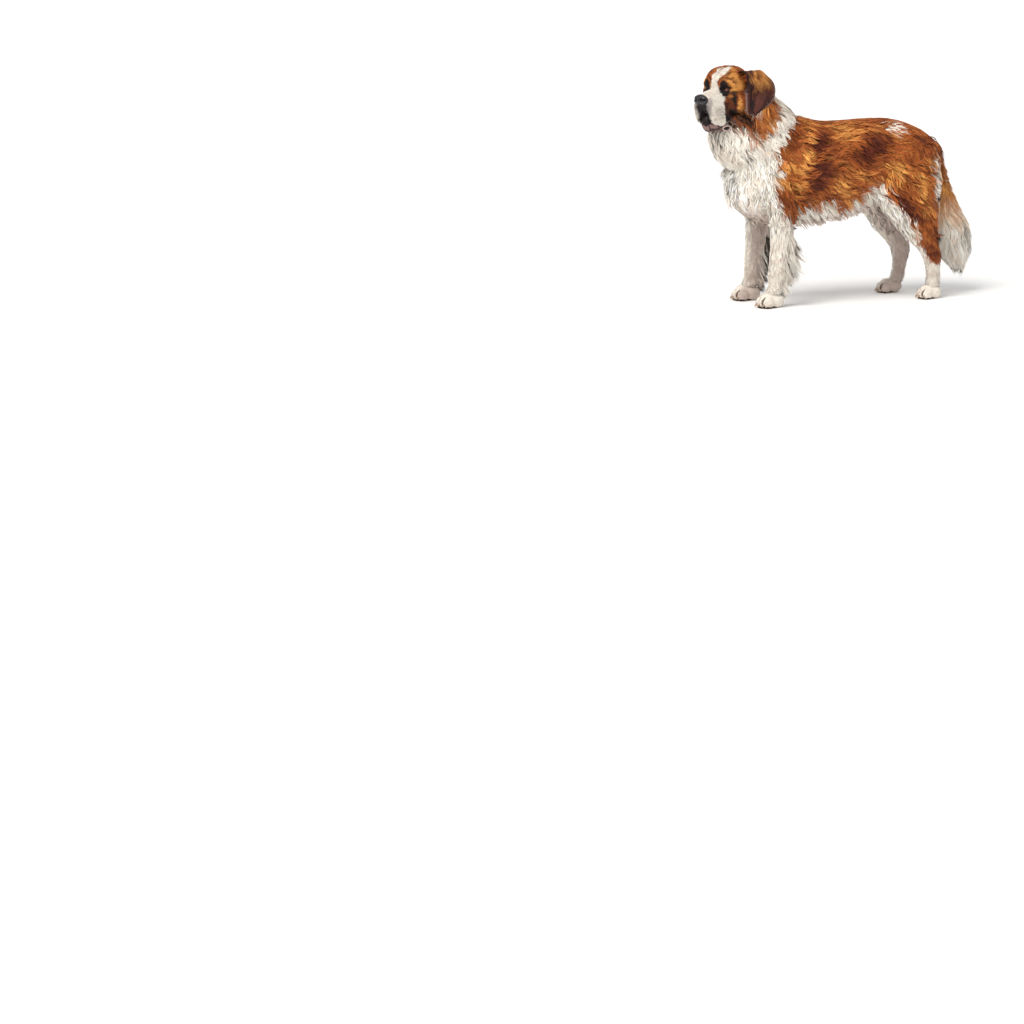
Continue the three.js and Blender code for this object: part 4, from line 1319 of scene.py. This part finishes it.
NOSE_FORMS = [[98, 0, -37, 17, 29, 21, 1], [98, 19, -40, 15, 15, 16, 8]]
NOSTRILS = [[112, 14, -37, 12, 7, 8, 2], [105, 26, -38, 12, 8, 6, 2], [118, 0, -50, 10, 2, 22, 3]]
JAW_FORMS = [
    [46, 0, -136, 38, 30, 41, 1],
    [-5, 0, -120, 66, 40, 40, 18],
    [24, 30, -142, 34, 18, 30, 14],
    [3, 43, -156, 25, 12, 18, 12],
]
face_outline = from_head(rayed(head_with_sockets, (-80, 0, -20), (64, 0, -62), 110, 140, -0.0005, 260))


def face_lie(p):
    """Away from the nose: up the stop and back over the skull, back and down over cheeks and flews."""
    away = to_head(p) - np.array([0.098, 0, -0.050])
    away /= np.maximum(np.linalg.norm(away, axis=-1, keepdims=True), 1e-6)
    away[..., 2] -= 0.35 * eased(0.0, 0.05, np.abs(to_head(p)[..., 1]))
    return away @ HEAD_AXES


def face_length(p):
    """A few millimetres on the muzzle, rising to three centimetres at the back of the cheeks."""
    ahead = to_head(p)[..., 0]
    return np.interp(ahead, [-0.15, -0.09, -0.04, 0.0, 0.1], [0.036, 0.026, 0.015, 0.0085, 0.0065])


def bare_face(p):
    """Where no hair grows: the nose, the eye openings and inside the mouth."""
    h = to_head(p)
    nose = blended(NOSE_FORMS)(h) < 0.0015
    eyes = almond(h, 0.0150, 0.0085) < 0
    return nose | eyes | (blended(JAW_FORMS)(h) < -0.002)


FACE_STYLE = {
    "length": face_length,
    "lift": 0.05,
    "droop": 0.0,
    "sway": 0.12,
    "wave": 0.12,
    "clump": 7,
    "gather": 0.25,
    "width": 0.0026,
    "under": 0.0042,
    "contrast": 0.12,
    "blur": 0.0012,
    "soft": 3.0,
}
grow_coat(
    "face_coat",
    grid_surface(face_outline),
    (0.01, 0.75, 0.4, 0.24),
    15000,
    FACE_STYLE,
    face_lie,
    "head_coat",
    (0.02, 0.0),
    (0.995, 1.0),
    -1,
    blade=FACE_BLADE,
    thick=lambda p: 1 + 1.2 * eased(-0.04, 0.02, to_head(p)[..., 0]),
    bare=bare_face,
    tone=lambda p, u, v: face_tone(to_head(p)),
)

# The ears. Broad flaps set high and well back, that rise a little at the root, fold over and hang with
# their front edge against the cheek. Dark velvet outside, with long golden hair at the top behind.
EAR = [
    [-92, 42, 44, 32],
    [-102, 74, 62, 38],
    [-109, 102, 59, 42],
    [-113, 120, 34, 49],
    [-120, 127, -12, 72],
    [-105, 126, -54, 53],
    [-89, 123, -88, 37],
    [-82, 120, -113, 23],
]
RIGHT_EAR_SHIFT = np.array([-0.008, -0.005, -0.012])
EAR_THICKNESS = 0.0075
EAR_FLARE = np.array([-1.0, 0.42, 0.0])
EAR_CUP = 0.26


def on_ear(side, u, v, grow=0.0):
    """Points on an ear flap at share u from root to tip and turn v round its thin section.

    The section is an oval across the flap, its edges curled inwards by the square of how far out they
    lie, with its front edge rolled a little outwards. Both ends close on a point.
    """
    inside = np.clip(u, 0.02, 0.985)
    table = np.array(EAR, float) * MM
    mid = read_stations(table, inside)
    closing = np.clip(np.asarray(u) / 0.02, 0, 1) * np.clip((1 - u) / 0.015, 0, 1)
    half = mid[..., 3] * np.sqrt(closing)
    mid = mid[..., :3]
    below = read_stations(table, np.clip(inside + 0.02, 0, 1))
    above = read_stations(table, np.clip(inside - 0.02, 0, 1))
    along = (below - above)[..., :3]
    along /= np.linalg.norm(along, axis=-1, keepdims=True)
    across = EAR_FLARE - along * np.sum(along * EAR_FLARE, -1, keepdims=True)
    across /= np.linalg.norm(across, axis=-1, keepdims=True)
    out = np.cross(along, across)
    reach = np.cos(2 * np.pi * v)
    lift = (EAR_THICKNESS / 2 + grow) * np.sin(2 * np.pi * v) * np.minimum(half / 0.012, 1)
    lift = lift - EAR_CUP * half * inside * reach**2
    lift = lift + 0.007 * eased(0.3, 0.6, inside) * np.exp(-(((reach + 0.74) / 0.16) ** 2))
    lift = lift + 0.0035 * np.sin(9 * inside + 2.5 * reach) * eased(0.2, 0.5, inside)
    spot = mid + across * (half * reach)[..., None] + out * lift[..., None]
    if side < 0:
        spot = (spot + RIGHT_EAR_SHIFT) * np.array([1, -1, 1])
    return from_head(spot)


def ear_tone(u, v):
    """Dark maroon with a black front edge, a painted highlight low in its middle, a pale painted sheen on
    the rim below, and gold at the top behind.
    """
    reach = np.cos(2 * np.pi * v)
    mottle = ripple(np.stack([u * 0.2, reach * 0.06, v * 0], -1), 0.03, 61)
    tone = mixed(MAROON, BLACK_BROWN, eased(-0.2, 1.0, mottle))
    # A painted highlight lightens the middle of the lower flap.
    glow_highlight = in_patch(np.stack([u, reach], -1), [0.72, 0.1], [0.2, 0.35])
    tone = mixed(tone, linear(112, 62, 48), 0.5 * glow_highlight)
    # The pale mauve rim along the lower edges and at the tip is a painted sheen.
    rim = linear(138, 108, 100)
    tone = mixed(tone, rim, 0.8 * eased(0.80, 0.95, np.abs(reach)) * eased(0.45, 0.62, u))
    tone = mixed(tone, rim, 0.8 * eased(0.93, 0.98, u))
    tone = mixed(tone, BLACK_BROWN, eased(-0.55, -0.95, reach) * (1 - eased(0.42, 0.58, u)))
    top = (1 - eased(0.36, 0.58, u + 0.1 * mottle)) * eased(-0.75, -0.1, reach + 0.3 * mottle)
    return mixed(tone, mixed(MAHOGANY, GOLD, np.clip(0.50 + 0.6 * mottle, 0, 1)), top)


def ear_root(side):
    """The fleshy cushion that joins the flap's upper part to the skull."""
    points, faces = oval_shell([-0.100, side * 0.080, 0.036], [0.026, 0.034, 0.024], 20, 32)
    return from_head(points).reshape(-1, 3), faces


EAR_STYLE = {
    "length": even(0.012),
    "lift": 0.06,
    "droop": 0.0,
    "sway": 0.15,
    "wave": 0.2,
    "clump": 8,
    "gather": 0.3,
    "width": 0.0028,
    "under": 0.001,
}
EAR_TUFTS = {**EAR_STYLE, "length": even(0.040), "lift": 0.12, "sway": 0.35, "wave": 0.5, "width": 0.0036}
for j, (name, side) in enumerate([("left", 1), ("right", -1)]):
    u, v = np.linspace(0, 1, 60)[:, None], np.arange(56)[None, :] / 56
    u, v = np.broadcast_arrays(u, v)
    flap_points = on_ear(side, u, v).reshape(-1, 3)
    ear_mesh = mesh_of("ear_flap_" + name, flap_points, grid_faces(60, 56)[:, ::side])
    set_colours(ear_mesh, ear_tone(u, v).reshape(-1, 3))
    flap = add_object("ear_flap_" + name, ear_mesh)
    ear_mesh.materials.append(coat_material("ear_velvet_" + name, 0.6, 500, 0.5))
    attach(flap, "root")
    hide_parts("ear_" + name)

    root_points, root_faces = ear_root(side)
    root_mesh = mesh_of("ear_root_" + name, root_points, root_faces)
    set_colours(root_mesh, mixed(MAHOGANY, RUST, eased(-0.5, 0.8, ripple(root_points, 0.02, 62))))
    root_piece = add_object("ear_root_" + name, root_mesh)
    root_mesh.materials.append(ear_mesh.materials[0])
    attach(root_piece, "root")

    def flap_surface(u, v, side=side):
        return on_ear(side, np.clip(u, 0.03, 0.97), v)

    def down_ear(p, side=side):
        return np.array([0.25, 0.1 * side, -1]) + np.zeros(p.shape)

    sign = out_sign(flap_surface, lambda u, v, side=side: on_ear(side, u, v, 0.002))
    for kind, style, count, blade, low, high in [
        ("coat", EAR_STYLE, 2600, SHORT_BLADE, (0.05, 0.0), (0.97, 1.0)),
        ("tufts", EAR_TUFTS, 600, LONG_BLADE, (0.03, 0.0), (0.5, 0.40)),
    ]:
        chart = (0.42 + 0.14 * j, 0.87 if kind == "tufts" else 0.75, 0.13, 0.1)
        grow_coat(
            f"ear_{kind}_{name}",
            flap_surface,
            chart,
            count,
            style,
            down_ear,
            "ear_coat",
            low,
            high,
            sign,
            blade=blade,
            tone=lambda p, u, v: ear_tone(u, v),
            tree=None,
        )

# The eyes. Dark amber, deep set under heavy brows, with lids of bare dark skin close round them; the
# lower lid hangs a little open and shows its pink-grey lining.
IRIS = 0.0074
PUPIL = 0.0032
gaze_turn = math.radians(10)
for name, side in [("left", 1), ("right", -1)]:
    middle = EYE_IN_HEAD * np.array([1, side, 1])
    gaze = np.array([math.cos(gaze_turn), side * math.sin(gaze_turn), -0.03])
    gaze /= np.linalg.norm(gaze)
    over = np.array([0, 0, 1.0]) - gaze * gaze[2]
    over /= np.linalg.norm(over)
    beside = np.cross(over, gaze)
    tilt = np.pi * np.linspace(0, 1, 90) ** 1.25
    turn = np.arange(72) * 2 * np.pi / 72
    tilt, turn = np.broadcast_arrays(tilt[:, None], turn[None, :])
    round_it = np.sin(tilt)
    cornea = 0.0016 * np.clip(1 - (EYE_RADIUS * round_it / 0.0085) ** 2, 0, 1) * (tilt < np.pi / 2)
    ball = gaze * np.cos(tilt)[..., None] + (
        beside * np.cos(turn)[..., None] + over * np.sin(turn)[..., None]
    ) * round_it[..., None]
    ball = middle + ball * (EYE_RADIUS - 0.0006 + cornea)[..., None]
    from_axis = EYE_RADIUS * round_it
    streaks = 0.5 + 0.5 * np.sin(31 * turn + 3 * np.sin(7 * turn))
    white = np.broadcast_to(linear(104, 74, 62), tilt.shape + (3,))
    iris = mixed(linear(196, 96, 24), linear(120, 50, 14), streaks)
    iris = mixed(iris, linear(30, 14, 8), eased(0.8, 1.0, from_axis / IRIS))
    tones = mixed(white, iris, 1 - eased(IRIS, IRIS + 0.0008, from_axis))
    tones = mixed(tones, linear(6, 4, 4), 1 - eased(PUPIL, PUPIL + 0.0004, from_axis))
    tones = np.where((tilt > np.pi / 2)[..., None], white, tones)
    eye_mesh = mesh_of("eyeball_" + name, from_head(ball).reshape(-1, 3), grid_faces(90, 72)[:, ::-1])
    set_colours(eye_mesh, tones.reshape(-1, 3))
    eye, shader, tree = new_material("wet_eye_" + name, linear(60, 30, 12), 0.06)
    marks = tree.nodes.new("ShaderNodeAttribute")
    marks.attribute_name = "markings"
    tree.links.new(marks.outputs["Color"], shader.inputs["Base Color"])
    shader.inputs["Coat Weight"].default_value = 1.0
    shader.inputs["Coat Roughness"].default_value = 0.02
    eye_mesh.materials.append(eye)
    eyeball = add_object("eyeball_" + name, eye_mesh)
    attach(eyeball, "root")
    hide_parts("eye_" + name)

    # The lids: a band round the almond opening that leaves the eyeball, swells and sinks into the face.
    phi = np.arange(72)[None, :] * 2 * np.pi / 72
    s = np.linspace(0, 1, 14)[:, None]
    phi, s = np.broadcast_arrays(phi, s)
    axis = eye_axis * np.array([1, side, 1])
    aside = eye_side * np.array([1, side, 1])
    across = 0.0112 * np.cos(phi) * (1 + 0.55 * s)
    rise = np.where(np.sin(phi) > 0, 0.0046, 0.0052) * np.sin(phi) * (1 + 1.15 * s) - 0.0012 * np.cos(phi)
    radius = EYE_RADIUS + np.interp(s, [0, 0.1, 0.35, 0.7, 1], [0.0002, 0.0014, 0.0026, 0.0022, -0.002])
    ahead = np.sqrt(np.maximum(radius**2 - across**2 - rise**2, 1e-8))
    lids = middle + axis * ahead[..., None] + aside * across[..., None]
    lids[..., 2] += rise
    lid_mesh = mesh_of("lids_" + name, from_head(lids).reshape(-1, 3), grid_faces(14, 72)[:, ::-side])
    lining = (1 - eased(0.05, 0.22, s)) * eased(0.1, 0.5, -np.sin(phi))
    set_colours(lid_mesh, mixed(linear(34, 24, 24), linear(170, 120, 118), lining).reshape(-1, 3))
    lid_piece = add_object("lids_" + name, lid_mesh)
    lid_skin = coat_material("lid_skin_" + name, 0.38, 900, 0.25)
    lid_mesh.materials.append(lid_skin)
    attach(lid_piece, "root")

# The nose. A broad black leather pad with wide comma nostrils and a groove down its middle.
nose_grid = from_head(rayed(blended(NOSE_FORMS, NOSTRILS), (90, 0, -38), (98, 0, -38), 90, 110, 0, 60))
nose_mesh = mesh_of("nose_pad", nose_grid.reshape(-1, 3), grid_faces(90, 110))
nose_leather, shader, tree = new_material("nose_leather", linear(34, 31, 35), 0.34)
place = tree.nodes.new("ShaderNodeTexCoord")
cells = tree.nodes.new("ShaderNodeTexVoronoi")
cells.inputs["Scale"].default_value = 620
tree.links.new(place.outputs["Object"], cells.inputs["Vector"])
pebbles = tree.nodes.new("ShaderNodeBump")
pebbles.inputs["Strength"].default_value = 0.5
pebbles.inputs["Distance"].default_value = 0.0006
tree.links.new(cells.outputs["Distance"], pebbles.inputs["Height"])
tree.links.new(pebbles.outputs["Normal"], shader.inputs["Normal"])
nose_mesh.materials.append(nose_leather)
nose = add_object("nose_pad", nose_mesh)
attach(nose, "root")
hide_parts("nose")

# The lower jaw and lips. The chin hangs behind the flews; its lip is bare mauve skin with a black edge.
jaw_grid = rayed(blended(JAW_FORMS), (-10, 0, -120), (50, 0, -128), 80, 100, -0.001, 260)
jaw_mesh = mesh_of("jaw_skin", from_head(jaw_grid).reshape(-1, 3), grid_faces(80, 100))


def jaw_tone(h):
    """Black inside the mouth, a pink-grey lip with a black rim, a dark chin and cream hair behind."""
    rim = h[..., 2] + 0.35 * (h[..., 0] - 0.05) + 0.003 * ripple(h, 0.02, 71)
    chin = mixed(linear(112, 84, 80), BLACK_BROWN, eased(-0.4, 0.6, ripple(h, 0.022, 74)))
    hair = mixed(CREAM, SHADE, 0.4 + 0.3 * ripple(h, 0.03, 73))
    tone = mixed(hair, chin, eased(-0.010, 0.016, h[..., 0]))
    lip = mixed(linear(140, 110, 104), linear(72, 54, 54), eased(-0.1, 0.8, ripple(h, 0.018, 72)))
    tone = mixed(tone, BLACK_BROWN, eased(-0.166, -0.162, rim))
    tone = mixed(tone, lip, eased(-0.159, -0.156, rim))
    return mixed(tone, BLACK_BROWN, eased(-0.139, -0.134, rim))


set_colours(jaw_mesh, jaw_tone(jaw_grid).reshape(-1, 3))
jaw = add_object("jaw_skin", jaw_mesh)
jaw_mesh.materials.append(coat_material("lip_leather", 0.4, 400, 0.4))
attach(jaw, "root")
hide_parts("lower_jaw")

# The flews' lips. A moist black edge runs from under the nose to the corner of the mouth, where the
# skin opens in a small dark pocket with a pale pink rim.
def cord_grid(path, radius, around=14):
    """A closed cord along a path: circles across it, of a radius that shrinks to nothing at both ends."""
    along = np.gradient(path, axis=0)
    along /= np.linalg.norm(along, axis=1, keepdims=True)
    side = np.cross(along, [0.3, 0.2, 1.0])
    side /= np.linalg.norm(side, axis=1, keepdims=True)
    over = np.cross(along, side)
    turn = np.arange(around) * 2 * np.pi / around
    ring = side[:, None] * np.cos(turn)[None, :, None] + over[:, None] * np.sin(turn)[None, :, None]
    return path[:, None] + ring * np.asarray(radius)[:, None, None]


def smoothed(values, rounds):
    """Each row drawn towards the mean of its neighbours, a few times over."""
    for _ in range(rounds):
        values[1:-1] = 0.5 * values[1:-1] + 0.25 * (values[:-2] + values[2:])
    return values


lip_parts = []
lip_tones = []
near_flew = head_grid.reshape(-1, 3)
for side in (1, -1):
    edge = []
    for x in np.linspace(0.092, -0.010, 44):
        strip = near_flew[(np.abs(near_flew[:, 0] - x) < 0.004) & (near_flew[:, 1] * side > 0.004)]
        edge.append(strip[np.argmin(strip[:, 2])])
    edge = smoothed(np.array(edge), 6) + np.array([0, 0, 0.001])
    radius = 0.0034 * np.sqrt(np.clip(np.sin(np.pi * np.linspace(0.0, 1, len(edge))), 0, 1))
    lip_parts.append((from_head(cord_grid(edge, radius)), grid_faces(len(edge), 14)))
    lip_tones.append(np.broadcast_to(linear(34, 24, 26), (len(edge) * 14, 3)))
    turn = np.linspace(0, 2 * np.pi, 40)
    sag = 0.0125 * np.sin(turn) * np.where(np.sin(turn) > 0, 0.55, 1.0)
    corner = np.stack([0.003 + 0.022 * np.cos(turn), side * (0.0540 + 0 * turn), -0.157 + sag], -1)
    lip_parts.append((from_head(cord_grid(corner, np.full(40, 0.0030))), grid_faces(40, 14)))
    lip_tones.append(np.broadcast_to(linear(196, 168, 160), (40 * 14, 3)))
    pocket, pocket_faces = oval_shell([0.003, side * 0.0515, -0.159], [0.0215, 0.0055, 0.0105], 16, 28)
    lip_parts.append((from_head(pocket), pocket_faces))
    lip_tones.append(np.broadcast_to(linear(26, 17, 18), (16 * 28, 3)))
lip_mesh = mesh_of("lips", *joined(lip_parts))
set_colours(lip_mesh, np.concatenate(lip_tones))
lips = add_object("lips", lip_mesh)
lip_mesh.materials.append(coat_material("moist_lip", 0.3, 700, 0.3))
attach(lips, "root")

# The whiskers. Stiff dark hairs in four rows on each side of the muzzle, with a few over each eye.
whisker_spines, whisker_outs = [], []
head_faces = grid_faces(HEAD_ROWS, HEAD_AROUND)
face_tree = BVHTree.FromPolygons(head_skin.reshape(-1, 3).tolist(), head_faces.tolist())
for side in (1, -1):
    spots = []
    for row in range(4):
        for i in range(5):
            spots.append([0.082 - 0.013 * i - 0.003 * row, side * 0.05, -0.062 - 0.011 * row])
    spots += [[0.004 - 0.01 * i, side * (0.044 + 0.004 * i), 0.026] for i in range(3)]
    for spot in spots:
        aim = from_head(np.array(spot))
        place, normal, _, _ = face_tree.find_nearest(aim.tolist())
        outwards = 1 if np.dot(normal, aim - from_head(np.zeros(3))) > 0 else -1
        normal = np.array(normal) * outwards
        back = np.array([-0.8, 0.25 * side, -0.35]) @ HEAD_AXES
        length = draw.uniform(0.022, 0.042)
        t = np.array([0, 0.45, 0.78, 1.0])[:, None]
        rise = normal * 0.55 * length * t + back * length * (0.5 * t + 0.5 * t**2)
        drop = np.array([0, 0, 0.25]) * length * t**2
        whisker_spines.append(np.array(place) - 0.002 * normal + rise - drop)
        whisker_outs.append(np.broadcast_to(normal, (4, 3)))
count = len(whisker_spines)
tuft_surface(
    "whiskers",
    SHORT_BLADE,
    np.array(whisker_spines),
    np.array(whisker_outs),
    np.full(count, 0.0009),
    np.broadcast_to(linear(70, 62, 60), (count, 4, 3)),
    np.stack([0.72 + 0.004 * np.arange(count), np.full(count, 0.76)], -1),
    coat_fibre,
)

# The feet. Blunt horn claws curve down from each toe over dark leather pads, and short hair covers the
# toes and fills the gaps between them.
claw_parts, pad_parts = [], []
for middle, axes in paw_frames():
    for toe in TOES:
        knuckle = toe_middle(toe)
        swing = np.linspace(0, 1, 14)[:, None]
        path = knuckle + np.array([0, -0.016, -0.004]) + swing * np.array([0, -0.017, -0.002])
        path = path - np.array([0, 0, 0.012]) * swing**2
        radius = 0.0046 * np.sqrt(np.clip(1 - swing[:, 0] ** 2.2, 0, 1)) * (swing[:, 0] > 0)
        claw_parts.append((cord_grid(path, radius) @ axes + middle, grid_faces(14, 14)))
        under_toe = knuckle * np.array([1, 1, 0]) + [0, -0.002, 0.005]
        pad, faces = oval_shell(under_toe, [0.0105, 0.0175, 0.0072])
        pad[..., 2] = np.maximum(pad[..., 2], 0)
        pad_parts.append((pad @ axes + middle, faces))
    pad, faces = oval_shell([0, 0.012, 0.006], [0.026, 0.024, 0.009])
    pad[..., 2] = np.maximum(pad[..., 2], 0)
    pad_parts.append((pad @ axes + middle, faces))
for side in (1, -1):
    carpal = np.array([side * 0.125, -0.241, 0.082]) + SHIFT
    pad_parts.append(oval_shell(carpal, [0.009, 0.008, 0.013]))
claw_mesh = mesh_of("claws", *joined(claw_parts))
claws = add_object("claws", claw_mesh)
horn, shader, tree = new_material("horn_claw", linear(168, 140, 112), 0.4)
place = tree.nodes.new("ShaderNodeTexCoord")
grain = tree.nodes.new("ShaderNodeTexNoise")
grain.inputs["Scale"].default_value = 240
grain_tone = tree.nodes.new("ShaderNodeMix")
grain_tone.data_type = "RGBA"
grain_tone.inputs["A"].default_value = (*linear(132, 104, 82), 1)
grain_tone.inputs["B"].default_value = (*linear(196, 172, 146), 1)
tree.links.new(place.outputs["Object"], grain.inputs["Vector"])
tree.links.new(grain.outputs["Fac"], grain_tone.inputs["Factor"])
tree.links.new(grain_tone.outputs["Result"], shader.inputs["Base Color"])
claw_mesh.materials.append(horn)
pad_mesh = mesh_of("paw_pads", *joined(pad_parts))
pads = add_object("paw_pads", pad_mesh)
set_colours(pad_mesh, np.broadcast_to(linear(52, 36, 32), (len(pad_mesh.vertices), 3)))
pad_mesh.materials.append(coat_material("pad_leather", 0.7, 500, 0.6))
for piece in (claws, pads):
    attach(piece, "root")

corners = paw_points[paw_faces]
face_middles = corners.mean(1)
face_outs = np.cross(corners[:, 2] - corners[:, 0], corners[:, 3] - corners[:, 1])
face_sizes = np.linalg.norm(face_outs, axis=1)
face_outs /= np.maximum(face_sizes[:, None], 1e-12)
open_face = (face_middles[:, 2] > 0.006) & (face_outs[:, 2] > -0.5)
chance = face_sizes * open_face
chosen = draw.choice(len(face_middles), 3600, p=chance / chance.sum())
roots = face_middles[chosen] + draw.normal(0, 0.001, (len(chosen), 3))
outs = face_outs[chosen]
ways = np.array([0.0, -1.0, -0.55]) - outs * (outs @ np.array([0.0, -1.0, -0.55]))[:, None]
ways /= np.maximum(np.linalg.norm(ways, axis=1, keepdims=True), 1e-9)
ways += 0.2 * draw.normal(size=ways.shape)
length = draw.uniform(0.006, 0.011, len(chosen))
t = np.array([0, 0.45, 0.78, 1.0])[None, :, None]
reach = length[:, None, None]
arch = -0.0015 + reach * (0.3 * t - 0.38 * t**2)
spines = roots[:, None] + ways[:, None] * reach * t + outs[:, None] * arch
around_paw = np.arctan2(roots[:, 1] % 0.2 - 0.1, roots[:, 0] % 0.2 - 0.1) / (2 * np.pi) + 0.5
place = np.stack([0.72 + 0.26 * around_paw, 0.80 + 1.2 * np.clip(roots[:, 2], 0, 0.12)], -1)
own = np.arange(len(chosen))
# The paw's hair takes the painted shade in the clefts between the toes too.
paw_tones = mixed(coat_tone(roots), CLEFT_SHADE, between_toes(spines[:, 2]))
tuft_surface(
    "paw_coat",
    SHORT_BLADE,
    spines,
    np.repeat(outs[:, None], 4, 1),
    np.full(len(chosen), 0.0024),
    shaded(paw_tones, own, SHORT_BLADE, 0.1),
    place,
    coat_fibre,
    3.0,
)

# The seams. Points that lie on one place at a pole or a seam become one, so each smooth piece closes.
for piece in set(bpy.data.objects) - packed_pieces:
    if piece.type == "MESH" and not piece.data.uv_layers:
        seams = bmesh.new()
        seams.from_mesh(piece.data)
        bmesh.ops.remove_doubles(seams, verts=seams.verts, dist=1e-6)
        seams.to_mesh(piece.data)
        seams.free()

# The closing lines. The model's box is set beside the imported solids' own.
size = {"cad": [list(c) for c in cad_box], "visual": [list(c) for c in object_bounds()]}
